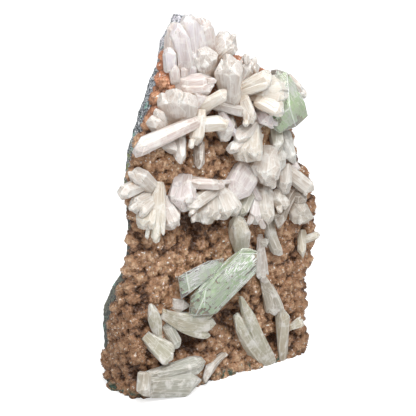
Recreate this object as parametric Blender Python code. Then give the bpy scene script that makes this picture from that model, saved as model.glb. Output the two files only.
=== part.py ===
"""Apophyllite cluster: stilbite and apophyllite crystals on a druse crust over basalt.

The specimen stands upright on the flat underside of its basalt, whose middle is the origin. Its
face looks along -Y and leans back a little, and +X is to the right of someone who looks at the
face. Lengths are metres.

Crystals are placed by where their ends show in the reference view, a fixed view of the standing
specimen, and by how far each end stands out from the face of the rock.
"""

import math
from dataclasses import dataclass
from enum import Enum

import bmesh
import bpy
import numpy as np
from mathutils import Matrix, Vector, noise
from mathutils.bvhtree import BVHTree

MM = 0.001

# Driving dimensions of the rock
ROCK_HEIGHT = 145 * MM
CRUST_HEIGHT = 140 * MM
FACE_FRONT = -22 * MM
FACE_LEAN = math.radians(6)
CRUST_THICKNESS = 5.0 * MM
BASE_DEPTH = 46 * MM
TOP_DEPTH = 15 * MM
CORNER_ROUNDING = 6.5 * MM
GAP = 0.3 * MM
# How far behind the face the blank of the crust closes, how far the basalt stands past its right
# edge, and how far it stays inside its left one
CRUST_BACK = 9 * MM
EDGE_STEP = 0.4 * MM
SIDE_STEP = 0.6 * MM
# Chips smaller than this, in cubic metres, are left out
SMALLEST_BODY = 4 * MM**3

# Half outlines of the face, as (height, x), both in millimetres
LEFT_EDGE = (
    (0, -40.5), (12, -40.5), (28, -41), (38, -39.5), (48, -38), (58, -37), (72, -36), (86, -36),
    (92, -34), (98, -32), (104, -28.5), (110, -25), (118, -22.5), (125, -19.5), (132, -17),
    (138, -13.5), (145, -5),
)
RIGHT_EDGE = (
    (0, 41), (8, 43.5), (12, 41.5), (22, 43), (34, 43.5), (44, 46), (58, 50), (66, 50), (76, 46),
    (86, 41), (96, 38), (104, 42), (110, 44), (115, 40), (121, 28), (127, 17), (133, 9), (138, 4),
    (145, -1),
)
# How far the crust runs back round the left side, and the strip of bare basalt behind it, as
# (height, depth) in millimetres
LEFT_WRAP = (
    (0, 21), (12, 20), (20, 17), (27, 15), (33, 13), (38, 11), (43, 8.5), (50, 5), (58, 3), (145, 3),
)
BASALT_STRIP = (
    (0, 1), (12, 1.5), (18, 4), (24, 6.5), (32, 8), (40, 7), (46, 5.5), (52, 3), (58, 3), (72, 3.5),
    (86, 4), (92, 5.5), (98, 6), (110, 8), (119, 6), (126, 4), (138, 1.5), (145, 1),
)
# The left side leans out towards the back as far as the crust covers it
WRAP_FLARE = 0.1

# Reference view: where the viewer stands, and millimetres a pixel at the target
VIEW_AZIMUTH = math.radians(-34)
VIEW_ELEVATION = math.radians(19)
VIEW_DISTANCE = 620 * MM
VIEW_TARGET = Vector((0.8 * MM, -10 * MM, 69 * MM))
VIEW_CENTRE_PX = 208
VIEW_PIXEL = 0.4 * MM

# Lumps of the crust
LUMP_SEED = 7
LUMP_TRIES = 5200
LUMP_SPACING = 3.9 * MM
LUMP_RADIUS = (2.3 * MM, 3.7 * MM)
LUMP_RISE = 0.72
CRUST_COLUMNS = 32
CRUST_ROWS = 42
# A coarser surface just clear of every lump, on which the crystals stand
STAND_COLUMNS = 13
STAND_ROWS = 16
STAND_REACH = 7.5 * MM
STAND_MARGIN = 2 * MM
UNDULATION = 1.1 * MM
UNDULATION_SCALE = 14 * MM

# Broken surface of the basalt
BASALT_ROWS = 20
BASALT_ROUGHNESS = 3 * MM
ROUGHNESS_SCALE = 9 * MM
ROUGH_CORNERS = (4, 5, 6, 7)

# Pits in the crust: where each shows in the reference view, its depth and its radius in millimetres
PITS = (
    {"centre_px": (183, 342), "depth": 6.0, "radius": 5.5},
    {"centre_px": (139, 376), "depth": 4.5, "radius": 4.0},
    {"centre_px": (226, 315), "depth": 3.5, "radius": 4.0},
    {"centre_px": (273, 340), "depth": 3.5, "radius": 4.0},
    {"centre_px": (196, 224), "depth": 3.0, "radius": 8.0},
    {"centre_px": (212, 110), "depth": 4.0, "radius": 7.0},
    {"centre_px": (136, 309), "depth": 2.5, "radius": 3.5},
)


class Habit(Enum):
    """How a crystal widens along its length: (place, share of width, share of thickness)."""

    LOG = ((0, 0.82, 0.8), (0.05, 1, 1), (0.95, 1, 1), (1, 0.84, 0.8))
    BLADE = ((0, 0.78, 0.8), (0.2, 1, 1), (0.8, 0.98, 1), (1, 0.42, 0.4))
    LENS = ((0, 0.5, 0.6), (0.3, 0.95, 1), (0.68, 0.95, 1), (1, 0.26, 0.35))
    FAN = ((0, 0.5, 0.8), (0.4, 0.82, 1), (0.86, 1, 0.9), (1, 0.66, 0.4))
    SHEAF = ((0, 0.55, 0.5), (0.15, 0.9, 0.85), (0.5, 0.78, 1), (0.85, 1, 0.85), (1, 0.6, 0.5))
    SPEAR = ((0, 0.66, 0.7), (0.2, 0.98, 1), (0.72, 0.92, 0.95), (1, 0.14, 0.2))
    SLAB = ((0, 0.7, 0.7), (0.1, 0.94, 1), (0.9, 1, 1), (1, 0.78, 0.7))
    HEADED = ((0, 0.62, 0.8), (0.35, 0.66, 0.85), (0.62, 1, 1), (1, 0.45, 0.5))


# Cross sections, as shares of the half width and half thickness; the wide one is for broad crystals
WIDE_SECTION = ((1, 0), (0.7, 1), (-0.7, 1), (-1, 0), (-0.7, -1), (0.7, -1))
NARROW_SECTION = ((0.92, 0.8), (-0.92, 0.8), (-0.92, -0.8), (0.92, -0.8))
WIDE_FROM = 7.0


@dataclass(frozen=True)
class Crystal:
    """One crystal: its ends in the reference view, how far each stands out, and its size in mm."""

    cluster: str
    root_px: tuple
    tip_px: tuple
    root_out: float
    tip_out: float
    width: float
    thickness: float
    habit: Habit = Habit.BLADE
    roll: float = 0.0
    bow: float = 0.0


STILBITE = (
    # Apex: satin slabs against the tip of the rock
    Crystal("apex_stilbite", (197, 72), (184, 18), 1.0, 2.5, 12.4, 6.2, Habit.SLAB, 12),
    Crystal("apex_stilbite", (204, 62), (193, 20), 1.0, 2.0, 6.2, 5.0, Habit.SLAB, 25),
    Crystal("apex_stilbite", (176, 79), (178, 27), 1.5, 5.0, 10.6, 5.8, Habit.LENS, -8),
    Crystal("apex_stilbite", (169, 72), (167, 47), 1.0, 2.5, 4.2, 3.8, Habit.LENS, 20),
    Crystal("apex_stilbite", (187, 77), (186, 50), 2.5, 5.0, 5.8, 4.4, Habit.LENS, 0),
    Crystal("upper_stilbite_cluster", (211, 54), (203, 18), -0.5, 3.5, 7.4, 5.8, Habit.BLADE, 20),
    Crystal("upper_stilbite_cluster", (213, 58), (234, 37), 0.0, 6.0, 11.2, 6.2, Habit.FAN, -20),
    Crystal("upper_stilbite_cluster", (207, 77), (205, 52), 0.5, 7.0, 10.0, 7.6, Habit.SLAB, 25),
    Crystal("upper_stilbite_cluster", (176, 90), (216, 83), 0.5, 9.0, 10.6, 7.6, Habit.LENS, 10),
    Crystal("upper_stilbite_cluster", (231, 103), (227, 57), 4.5, 12.0, 11.6, 8.2, Habit.SHEAF, -15),
    Crystal("upper_stilbite_cluster", (238, 82), (249, 59), 2.5, 8.0, 7.4, 6.2, Habit.BLADE, 10),
    Crystal("upper_stilbite_cluster", (247, 74), (257, 64), 0.5, 5.0, 5.8, 5.0, Habit.BLADE, 0),
    # Upper right: cream sheaves
    Crystal("upper_stilbite_cluster", (236, 91), (272, 76), 3.5, 12.0, 8.2, 7.6, Habit.SHEAF, 15),
    Crystal("upper_stilbite_cluster", (252, 93), (287, 100), 2.5, 13.0, 12.4, 10.0, Habit.FAN, 0),
    Crystal("upper_stilbite_cluster", (262, 90), (286, 84), 1.5, 10.0, 11.2, 8.8, Habit.SLAB, 30),
    Crystal("upper_stilbite_cluster", (256, 100), (284, 112), 6.5, 15.0, 7.0, 6.2, Habit.BLADE, -20),
    Crystal("upper_stilbite_cluster", (243, 95), (253, 124), 6.5, 10.0, 6.2, 5.8, Habit.SHEAF, 10),
    Crystal("upper_stilbite_cluster", (211, 104), (247, 112), 3.5, 8.0, 5.0, 4.2, Habit.BLADE, 30),
    Crystal("upper_stilbite_cluster", (221, 111), (235, 136), 4.5, 6.0, 3.4, 3.0, Habit.BLADE, 20),
    Crystal("upper_stilbite_cluster", (260, 108), (270, 126), 4.5, 10.0, 6.2, 5.0, Habit.LENS, 20),
    Crystal("upper_stilbite_cluster", (230, 118), (222, 140), 1.5, 6.0, 7.4, 6.2, Habit.LENS, 30),
    Crystal("upper_stilbite_cluster", (262, 118), (236, 141), 1.5, 8.0, 6.2, 5.6, Habit.BLADE, 20),
    # Left of the upper cluster
    Crystal("upper_stilbite_cluster", (181, 126), (176, 91), 0.0, 7.0, 15.6, 7.6, Habit.FAN, -12),
    Crystal("upper_stilbite_cluster", (201, 114), (195, 92), 1.5, 8.0, 10.0, 6.2, Habit.LENS, 20),
    Crystal("upper_stilbite_cluster", (196, 110), (227, 92), 4.5, 13.0, 5.0, 4.8, Habit.LOG, 20),
    Crystal("upper_stilbite_cluster", (197, 122), (134, 150), 7.5, 7.0, 6.4, 6.2, Habit.LOG, 15),
    Crystal("upper_stilbite_cluster", (200, 110), (196, 145), 6.5, 9.0, 5.8, 5.2, Habit.BLADE, 10),
    Crystal("upper_stilbite_cluster", (196, 126), (229, 122), 6.5, 13.0, 6.4, 5.8, Habit.LOG, -15),
    Crystal("upper_stilbite_cluster", (167, 130), (156, 110), 0.5, 5.0, 5.4, 4.0, Habit.LENS, 30),
    Crystal("upper_stilbite_cluster", (166, 136), (150, 120), 0.5, 5.0, 6.2, 5.0, Habit.BLADE, 0),
    Crystal("hanging_stilbite", (180, 134), (180, 164), 2.0, 7.0, 5.4, 4.4, Habit.SPEAR, 20),
    Crystal("hanging_stilbite", (163, 140), (178, 154), 1.5, 6.0, 5.8, 4.2, Habit.BLADE, -20),
    Crystal("hanging_stilbite", (200, 142), (199, 169), 2.0, 6.0, 4.8, 4.2, Habit.SPEAR, 25),
    # Left end of the middle band
    Crystal("left_stilbite_fan", (144, 184), (120, 194), -0.5, 6.0, 6.0, 5.6, Habit.BLADE, 15),
    Crystal("left_stilbite_fan", (152, 190), (136, 173), 0.0, 5.0, 8.0, 6.2, Habit.SLAB, 0),
    Crystal("left_stilbite_fan", (155, 196), (134, 210), 0.0, 5.5, 8.6, 6.2, Habit.FAN, 10),
    Crystal("left_stilbite_fan", (156, 198), (143, 228), 0.5, 7.0, 8.0, 5.8, Habit.FAN, 20),
    Crystal("left_stilbite_fan", (162, 198), (174, 229), 0.5, 7.0, 9.4, 5.8, Habit.FAN, -15),
    Crystal("left_stilbite_fan", (160, 182), (155, 243), 3.5, 9.0, 4.8, 4.4, Habit.SHEAF, 15),
    # Middle band
    Crystal("middle_stilbite_cluster", (186, 178), (180, 210), 0.5, 8.0, 11.0, 7.6, Habit.FAN, 10),
    Crystal("middle_stilbite_cluster", (214, 189), (188, 208), 4.5, 9.0, 5.8, 5.2, Habit.BLADE, 0),
    Crystal("middle_stilbite_cluster", (186, 182), (225, 185), 3.5, 10.0, 5.0, 5.0, Habit.LENS, 30),
    Crystal("middle_stilbite_cluster", (216, 183), (229, 218), 0.5, 9.0, 11.0, 7.6, Habit.FAN, -20),
    Crystal("middle_stilbite_cluster", (209, 192), (202, 222), 0.0, 7.0, 12.8, 7.6, Habit.FAN, 15),
    Crystal("middle_stilbite_cluster", (250, 162), (230, 200), 0.5, 7.0, 12.0, 7.6, Habit.LENS, -20),
    Crystal("middle_stilbite_cluster", (254, 126), (247, 160), 1.5, 10.0, 12.0, 8.8, Habit.FAN, 20),
    Crystal("middle_stilbite_cluster", (250, 136), (229, 151), 3.5, 8.0, 5.0, 5.0, Habit.BLADE, 0),
    Crystal("middle_stilbite_cluster", (268, 150), (263, 183), 1.5, 10.0, 13.6, 8.8, Habit.FAN, 10),
    Crystal("middle_stilbite_cluster", (274, 124), (278, 152), 0.5, 6.0, 6.2, 5.6, Habit.BLADE, 15),
    Crystal("middle_stilbite_cluster", (281, 146), (279, 170), 1.5, 7.0, 5.2, 4.8, Habit.BLADE, 0),
    Crystal("middle_stilbite_cluster", (283, 132), (292, 164), 1.0, 6.0, 6.2, 5.6, Habit.BLADE, 20),
    Crystal("middle_stilbite_cluster", (282, 160), (302, 169), 0.5, 5.5, 5.2, 4.8, Habit.BLADE, -15),
    Crystal("middle_stilbite_cluster", (284, 166), (284, 192), 2.5, 9.0, 6.6, 6.2, Habit.SLAB, 10),
    Crystal("middle_stilbite_cluster", (286, 170), (313, 191), 2.5, 8.0, 6.4, 5.8, Habit.BLADE, 10),
    Crystal("middle_stilbite_cluster", (248, 180), (262, 203), 2.5, 6.0, 3.2, 3.2, Habit.SPEAR, 0),
    Crystal("middle_stilbite_cluster", (264, 184), (267, 224), 1.5, 9.0, 7.4, 7.0, Habit.BLADE, 15),
    Crystal("middle_stilbite_cluster", (256, 194), (256, 224), 1.5, 7.0, 6.4, 5.8, Habit.BLADE, -20),
    Crystal("middle_stilbite_cluster", (252, 186), (239, 216), 1.0, 5.0, 6.2, 5.6, Habit.BLADE, 10),
    Crystal("middle_stilbite_cluster", (276, 194), (284, 206), 3.5, 10.0, 6.6, 6.2, Habit.SLAB, 30),
    Crystal("middle_stilbite_cluster", (297, 186), (277, 227), 1.0, 6.0, 6.2, 5.2, Habit.BLADE, 10, 1.5),
    Crystal("middle_stilbite_cluster", (294, 204), (306, 221), 0.0, 7.0, 9.2, 7.6, Habit.SLAB, 15),
    Crystal("middle_stilbite_cluster", (291, 196), (306, 200), 0.5, 6.0, 5.4, 5.0, Habit.BLADE, 20),
    Crystal("middle_stilbite_cluster", (268, 218), (280, 256), 1.0, 6.0, 5.2, 4.8, Habit.BLADE, 15, 1.0),
    # Right edge
    Crystal("right_edge_stilbite", (302, 230), (302, 257), 0.5, 4.0, 3.8, 3.8, Habit.SLAB, 10),
    Crystal("right_edge_stilbite", (303, 240), (320, 234), 1.0, 5.0, 3.4, 3.2, Habit.BLADE, 0),
    # Lower field: single crystals on the druse
    Crystal("headed_stilbite", (241, 256), (238, 218), 0.0, 6.0, 9.0, 6.4, Habit.HEADED, 10),
    Crystal("chain_stilbite", (260, 234), (263, 282), 1.5, 4.0, 3.4, 3.2, Habit.SHEAF, 0),
    Crystal("chain_stilbite", (259, 243), (269, 242), 1.5, 4.5, 3.4, 3.0, Habit.FAN, 0),
    Crystal("chain_stilbite", (262, 276), (275, 315), 2.0, 5.0, 6.2, 5.2, Habit.FAN, 10, -0.8),
    Crystal("chain_stilbite", (282, 360), (282, 306), -0.5, 6.0, 5.4, 5.2, Habit.BLADE, 20),
    Crystal("chain_stilbite", (285, 330), (303, 320), 1.5, 5.5, 3.4, 3.2, Habit.FAN, 0),
    Crystal("spear_pair", (270, 362), (241, 296), 0.0, 8.0, 6.2, 5.8, Habit.SPEAR, 15, -1.2),
    Crystal("spear_pair", (262, 363), (236, 315), 0.0, 6.0, 5.8, 5.2, Habit.BLADE, 10, -1.0),
    Crystal("slab_stilbite", (160, 312), (215, 324), 1.0, 5.0, 8.0, 6.2, Habit.FAN, 10, 1.8),
    Crystal("bone_stilbite", (158, 340), (152, 305), 1.0, 6.5, 5.4, 5.0, Habit.HEADED, 10),
    Crystal("bone_stilbite", (144, 335), (172, 360), 0.5, 6.5, 9.2, 6.2, Habit.FAN, -15),
    Crystal("bone_stilbite", (163, 324), (178, 348), 0.0, 4.0, 5.8, 4.4, Habit.BLADE, -10),
    Crystal("bottom_stilbite_group", (143, 380), (204, 361), 1.5, 6.0, 7.4, 7.6, Habit.BLADE, 15),
    Crystal("bottom_stilbite_group", (144, 386), (201, 381), 2.5, 6.5, 10.0, 8.0, Habit.SLAB, 10),
    Crystal("bottom_stilbite_group", (146, 372), (143, 396), 4.0, 6.0, 5.8, 6.8, Habit.SLAB, 30),
    Crystal("curved_stilbite", (225, 354), (204, 382), 0.5, 4.5, 4.2, 3.8, Habit.HEADED, 0, 1.4),
    Crystal("lilac_stilbite", (168, 303), (189, 306), 0.0, 3.5, 5.8, 4.4, Habit.LENS, 0),
)


@dataclass(frozen=True)
class Corner:
    """A corner of a blocky crystal: where it shows, and how far it stands out in millimetres."""

    px: tuple
    out: float


# The long pale green crystal of the lower field, listed from its lower left end
LONG_APOPHYLLITE = (
    Corner((190, 296), 8.0), Corner((188, 314), 6.5), Corner((194, 319), 9.0), Corner((201, 290), 11.0),
    Corner((205, 306), 12.5), Corner((216, 313), 10.0), Corner((240, 252), 13.0), Corner((258, 253), 14.0),
    Corner((257, 271), 14.0), Corner((253, 277), 12.5), Corner((246, 247), 9.5), Corner((232, 256), 8.5),
    Corner((239, 292), 12.0), Corner((192, 297), 2.0), Corner((196, 318), 2.5), Corner((215, 312), 3.0),
    Corner((230, 259), 3.0), Corner((246, 248), 4.0), Corner((257, 254), 5.0), Corner((253, 276), 4.5),
    Corner((209, 279), 4.0),
)
# The clear plate that leans against its back
CLEAR_PLATE = (
    Corner((178, 277), 5.0), Corner((186, 272), 7.0), Corner((208, 261), 8.0), Corner((224, 258), 7.5),
    Corner((221, 270), 9.0), Corner((206, 280), 9.5), Corner((190, 293), 9.0), Corner((181, 299), 6.0),
    Corner((184, 285), 6.5), Corner((180, 280), -1.5), Corner((222, 260), -1.5), Corner((216, 274), -1.5),
    Corner((184, 297), -1.5), Corner((204, 265), -1.5),
)
# The deeper green block at the upper right
GREEN_BLOCK = (
    Corner((271, 70), 2.0), Corner((277, 69), 6.0), Corner((287, 72), 9.0), Corner((293, 80), 10.0),
    Corner((299, 91), 11.0), Corner((305, 103), 11.5), Corner((308, 116), 10.5), Corner((296, 127), 11.0),
    Corner((289, 129), 10.0), Corner((279, 133), 8.5), Corner((268, 125), 7.0), Corner((267, 118), 6.0),
    Corner((290, 108), 13.5), Corner((285, 90), 8.0), Corner((275, 74), -2.0), Corner((292, 84), -2.0),
    Corner((304, 104), -2.0), Corner((300, 118), -2.0), Corner((280, 124), -2.0), Corner((270, 100), -2.0),
)


class ReferenceView:
    """Turns a place in the reference view into a point over the face of the rock."""

    def __init__(self):
        a, e = VIEW_AZIMUTH, VIEW_ELEVATION
        self.right = Vector((math.cos(a), math.sin(a), 0))
        self.towards = Vector((math.sin(a) * math.cos(e), -math.cos(a) * math.cos(e), math.sin(e)))
        self.up = self.towards.cross(self.right)
        self.eye = VIEW_TARGET + self.towards * VIEW_DISTANCE

    def point(self, px, out):
        """The point seen at px that stands out metres in front of the leaning face plane."""
        across = (px[0] - VIEW_CENTRE_PX) * VIEW_PIXEL
        above = (VIEW_CENTRE_PX - px[1]) * VIEW_PIXEL
        ray = self.right * across + self.up * above - self.towards * VIEW_DISTANCE
        slope = math.tan(FACE_LEAN)
        reach = (FACE_FRONT + slope * self.eye.z - out - self.eye.y) / (ray.y - slope * ray.z)
        return self.eye + ray * reach


VIEW = ReferenceView()


def along(table, height):
    """Value at a height of a (height, value) table in millimetres, in metres."""
    heights, values = zip(*table)
    return float(np.interp(height / MM, heights, values)) * MM


def face_y(height):
    """Where the leaning plane of the face is at a height."""
    return FACE_FRONT + height * math.tan(FACE_LEAN)


def pits():
    """Centres, depths and radii of the pits, in metres."""
    return [(VIEW.point(p["centre_px"], 0), p["depth"] * MM, p["radius"] * MM) for p in PITS]


def crust_line(height, margin):
    """Plan outline of the bare crust at a height: from its left rear end round the corner to the right."""
    left, right = along(LEFT_EDGE, height) - margin, along(RIGHT_EDGE, height) + margin
    wrap = along(LEFT_WRAP, height) + margin
    y = face_y(height)
    rear = Vector((left - WRAP_FLARE * wrap, y + wrap))
    corner = Vector((left, y))
    end = Vector((right, y))
    cut = min(CORNER_ROUNDING, wrap)
    before = corner.lerp(rear, cut / (rear - corner).length)
    after = corner.lerp(end, cut / (end - corner).length)
    arc = [before * (1 - t) ** 2 + corner * 2 * t * (1 - t) + after * t * t for t in (0, 0.25, 0.5, 0.75, 1)]
    return [rear, *arc, end]


def even_points(line, count):
    """Points evenly spaced along a plan outline, each with its outward direction."""
    lengths = [0.0]
    for a, b in zip(line, line[1:]):
        lengths.append(lengths[-1] + (b - a).length)
    places = np.linspace(0, lengths[-1], count)
    xs = np.interp(places, lengths, [p.x for p in line])
    ys = np.interp(places, lengths, [p.y for p in line])
    tangent_x, tangent_y = np.gradient(xs), np.gradient(ys)
    size = np.hypot(tangent_x, tangent_y)
    return xs, ys, tangent_y / size, -tangent_x / size


class Crust:
    """The outer surface of the druse: a plan outline for each height, raised by pits and lumps."""

    def __init__(self, columns=CRUST_COLUMNS, rows=CRUST_ROWS, margin=0.0):
        self.margin = margin
        self.heights = np.linspace(0, CRUST_HEIGHT, rows)
        lines = [even_points(crust_line(h, margin), columns) for h in self.heights]
        self.x, self.y, self.out_x, self.out_y = (np.array([line[i] for line in lines]) for i in range(4))
        self.z = np.repeat(self.heights[:, None], columns, axis=1)
        self.points = np.stack([self.x, self.y, self.z], axis=-1)

    def scatter_lumps(self):
        """Lump centres at least LUMP_SPACING apart, with a radius each."""
        rng = np.random.default_rng(LUMP_SEED)
        kept = np.empty((0, 4))
        for _ in range(LUMP_TRIES):
            row, row_share = divmod(rng.uniform(0, self.points.shape[0] - 1), 1)
            column, column_share = divmod(rng.uniform(0, self.points.shape[1] - 1), 1)
            radius = rng.uniform(*LUMP_RADIUS)
            patch = self.points[int(row):int(row) + 2, int(column):int(column) + 2]
            low, high = patch[0] + (patch[1] - patch[0]) * row_share
            centre = low + (high - low) * column_share
            if np.all(np.sum((kept[:, :3] - centre) ** 2, axis=1) > LUMP_SPACING**2):
                kept = np.vstack([kept, [*centre, radius]])
        return kept

    def lumpy_rise(self):
        """How far each point of the druse stands out from the plan outline."""
        rise = np.zeros(self.x.shape)
        for *centre, radius in self.scatter_lumps():
            away = np.sum((self.points - np.array(centre)) ** 2, axis=-1) / radius**2
            dome = LUMP_RISE * radius * np.sqrt(np.clip(1 - away, 0, None))
            rise = np.maximum(rise, dome)
        for centre, depth, radius in pits():
            away = np.sum((self.points - np.array(centre)) ** 2, axis=-1) / radius**2
            rise -= depth * np.exp(-away)
        for index in np.ndindex(rise.shape):
            rise[index] += UNDULATION * noise.noise(Vector(self.points[index]) / UNDULATION_SCALE)
        return rise

    def rise_over(self, fine, fine_rise):
        """The least rise that keeps this coarser surface clear of a finer one."""
        away = np.linalg.norm(self.points[:, :, None, None] - fine.points[None, None], axis=-1)
        near = np.where(away < STAND_REACH, fine_rise[None, None], -np.inf)
        return near.max(axis=(2, 3)) + GAP

    def blank(self, name, rise):
        """A closed body whose front is this surface: its flat back lies inside the rock."""
        xs, ys = self.x + self.out_x * rise, self.y + self.out_y * rise
        bm = bmesh.new()
        rings = []
        for row, height in enumerate(self.heights):
            z = height
            if row in (0, len(self.heights) - 1):
                z += math.copysign(self.margin, row - 1)
            ring = [bm.verts.new((xs[row, i], ys[row, i], z)) for i in range(xs.shape[1])]
            right = along(RIGHT_EDGE, height) + self.margin
            ring.append(bm.verts.new((right, face_y(height) + CRUST_BACK - MM, z)))
            rings.append(ring)
        skin(bm, rings)
        return mesh_object(name, bm)


def skin(bm, rings):
    """Faces between neighbouring rings of vertices, with a cap on the first and the last."""
    for low, high in zip(rings, rings[1:]):
        count = len(low)
        for i in range(count):
            j = (i + 1) % count
            bm.faces.new((low[i], low[j], high[j], high[i]))
    bm.faces.new(reversed(rings[0]))
    bm.faces.new(rings[-1])
    bmesh.ops.recalc_face_normals(bm, faces=bm.faces)


def mesh_object(name, bm):
    """A new object from a bmesh, triangulated and linked to the scene."""
    bmesh.ops.triangulate(bm, faces=bm.faces)
    mesh = bpy.data.meshes.new(name)
    bm.to_mesh(mesh)
    bm.free()
    obj = bpy.data.objects.new(name, mesh)
    bpy.context.scene.collection.objects.link(obj)
    return obj


def core_ring(height, grow):
    """Plan outline of the basalt at a height, its faces under the crust moved out by grow."""
    y = face_y(height)
    left, right, wrap = along(LEFT_EDGE, height), along(RIGHT_EDGE, height), along(LEFT_WRAP, height)
    strip = along(BASALT_STRIP, height)
    share = height / ROCK_HEIGHT
    depth = BASE_DEPTH + (TOP_DEPTH - BASE_DEPTH) * share
    flare = WRAP_FLARE * wrap
    front = y + CRUST_THICKNESS - grow
    step = y + wrap + GAP - grow
    width = right - left
    inner = left + min(CRUST_THICKNESS, 0.4 * width) - grow
    rear = y + depth
    taper = min(0.22 * width, 0.7 * (rear - step))
    return [
        (inner, min(front, step)),
        (left + 0.5 * width, front),
        (right + EDGE_STEP + grow, front),
        (right + EDGE_STEP + grow, y + CRUST_BACK),
        (right - 0.16 * width, rear - 0.1 * depth),
        (left + 0.62 * width, rear),
        (left + 0.36 * width, rear + 0.02 * depth),
        (left + taper, rear - 0.16 * depth),
        (left - flare + SIDE_STEP, step + strip),
        (left - flare + SIDE_STEP, step),
        (inner - 0.2 * MM, step),
    ]


def basalt_body(name, grow=0.0):
    """The basalt as a loft of its plan outlines; grow moves only the faces that carry the crust."""
    bm = bmesh.new()
    heights = [*np.linspace(0, ROCK_HEIGHT, BASALT_ROWS)]
    rings = []
    for height in heights:
        ring = []
        for index, (x, y) in enumerate(core_ring(height, grow)):
            point = Vector((x, y, height))
            if index in ROUGH_CORNERS:
                point += Vector((1, 1, 0)) * BASALT_ROUGHNESS * noise.noise(point / ROUGHNESS_SCALE)
            ring.append(bm.verts.new(point))
        rings.append(ring)
    for vert, side in [(v, -1) for v in rings[0]] + [(v, 1) for v in rings[-1]]:
        vert.co.z += side * grow
    skin(bm, rings)
    return mesh_object(name, bm)


def crystal_frame(crystal):
    """Root, tip, and unit directions across and towards the viewer for one crystal."""
    root = VIEW.point(crystal.root_px, crystal.root_out * MM)
    tip = VIEW.point(crystal.tip_px, crystal.tip_out * MM)
    axis = (tip - root).normalized()
    facing = (VIEW.towards - axis * VIEW.towards.dot(axis)).normalized()
    facing.rotate(Matrix.Rotation(math.radians(crystal.roll), 3, axis))
    return root, tip, axis.cross(facing), facing


def crystal_body(name, crystal):
    """A flat sided crystal: sections that follow its habit from root to tip."""
    root, tip, across, facing = crystal_frame(crystal)
    half_width, half_thickness = crystal.width / 2 * MM, crystal.thickness / 2 * MM
    section = WIDE_SECTION if crystal.width >= WIDE_FROM else NARROW_SECTION
    bm = bmesh.new()
    rings = []
    for place, wide, thick in crystal.habit.value:
        bend = across * crystal.bow * MM * 4 * place * (1 - place)
        middle = root.lerp(tip, place) + bend
        ring = [middle + across * (u * half_width * wide) + facing * (v * half_thickness * thick)
                for u, v in section]
        rings.append([bm.verts.new(point) for point in ring])
    skin(bm, rings)
    return mesh_object(name, bm)


def blocky_body(name, corners, grow=0.0):
    """The convex body over a crystal's corners, grown on every side if it is to cut a clearance."""
    bm = bmesh.new()
    signs = (-grow, grow) if grow else (0,)
    for corner in corners:
        point = VIEW.point(corner.px, corner.out * MM)
        for dx in signs:
            for dy in signs:
                for dz in signs:
                    bm.verts.new(point + Vector((dx, dy, dz)))
    hull = bmesh.ops.convex_hull(bm, input=bm.verts)
    inner = {item for item in hull["geom_interior"] if isinstance(item, bmesh.types.BMVert)}
    bmesh.ops.delete(bm, geom=list(inner), context="VERTS")
    bmesh.ops.recalc_face_normals(bm, faces=bm.faces)
    return mesh_object(name, bm)


def boolean(obj, operation, other):
    """Applies one exact Boolean to obj."""
    modifier = obj.modifiers.new(operation.title(), "BOOLEAN")
    modifier.operation = operation
    modifier.solver = "EXACT"
    modifier.object = other
    graph = bpy.context.evaluated_depsgraph_get()
    mesh = bpy.data.meshes.new_from_object(obj.evaluated_get(graph))
    obj.modifiers.clear()
    obj.data = mesh


def remove(*objects):
    for obj in objects:
        bpy.data.objects.remove(obj)


def loose_bodies(bm):
    """Sets of the vertices of each separate body, the smallest body first."""
    left = set(bm.verts)
    bodies = []
    while left:
        body, front = set(), [left.pop()]
        while front:
            vert = front.pop()
            body.add(vert)
            near = {edge.other_vert(vert) for edge in vert.link_edges} & left
            left -= near
            front.extend(near)
        bodies.append(body)
    return sorted(bodies, key=lambda body: sum(f.calc_area() for f in {f for v in body for f in v.link_faces}))


def split(obj):
    """Parts an object into one object for each separate body, leaving out chips."""
    bm = bmesh.new()
    bm.from_mesh(obj.data)
    count = len(loose_bodies(bm))
    bm.free()
    found = []
    for index in range(count):
        bm = bmesh.new()
        bm.from_mesh(obj.data)
        bodies = loose_bodies(bm)
        spare = [vert for other, body in enumerate(bodies) if other != index for vert in body]
        bmesh.ops.delete(bm, geom=spare, context="VERTS")
        if bm.calc_volume() > SMALLEST_BODY:
            found.append(mesh_object(obj.name, bm))
        else:
            bm.free()
    remove(obj)
    return found


def tree_of(obj):
    bm = bmesh.new()
    bm.from_mesh(obj.data)
    tree = BVHTree.FromBMesh(bm)
    bm.free()
    return tree


def grown_together(objects):
    """Sorts crystals into groups whose members overlap, as lists of their places in objects."""
    trees = [tree_of(obj) for obj in objects]
    groups = []
    for index in range(len(objects)):
        touching = [g for g in groups if any(trees[index].overlap(trees[other]) for other in g)]
        joined = [index] + [other for group in touching for other in group]
        groups = [g for g in groups if g not in touching] + [sorted(joined)]
    return sorted(groups, key=len, reverse=True)


def unite(objects):
    """One solid of overlapping crystals, in place of the first."""
    body, *others = objects
    for other in others:
        boolean(body, "UNION", other)
    remove(*others)
    return body


def cluster_of(body, crystals):
    """The cluster of most of the crystals that lie in a body."""
    tree = tree_of(body)
    votes = []
    for crystal in crystals:
        root, tip, _, _ = crystal_frame(crystal)
        _, _, _, away = tree.find_nearest(root.lerp(tip, 0.7))
        if away < crystal.thickness / 2 * MM + GAP:
            votes.append(crystal.cluster)
    return max(votes, key=votes.count, default=crystals[0].cluster)


def principled(name, colour, roughness, metallic=0.0, transmission=0.0):
    material = bpy.data.materials.new(name)
    material.use_nodes = True
    shader = material.node_tree.nodes["Principled BSDF"]
    shader.inputs["Base Color"].default_value = (*colour, 1)
    shader.inputs["Roughness"].default_value = roughness
    shader.inputs["Metallic"].default_value = metallic
    shader.inputs["Transmission Weight"].default_value = transmission
    material.diffuse_color = (*colour, 1)
    return material


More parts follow.
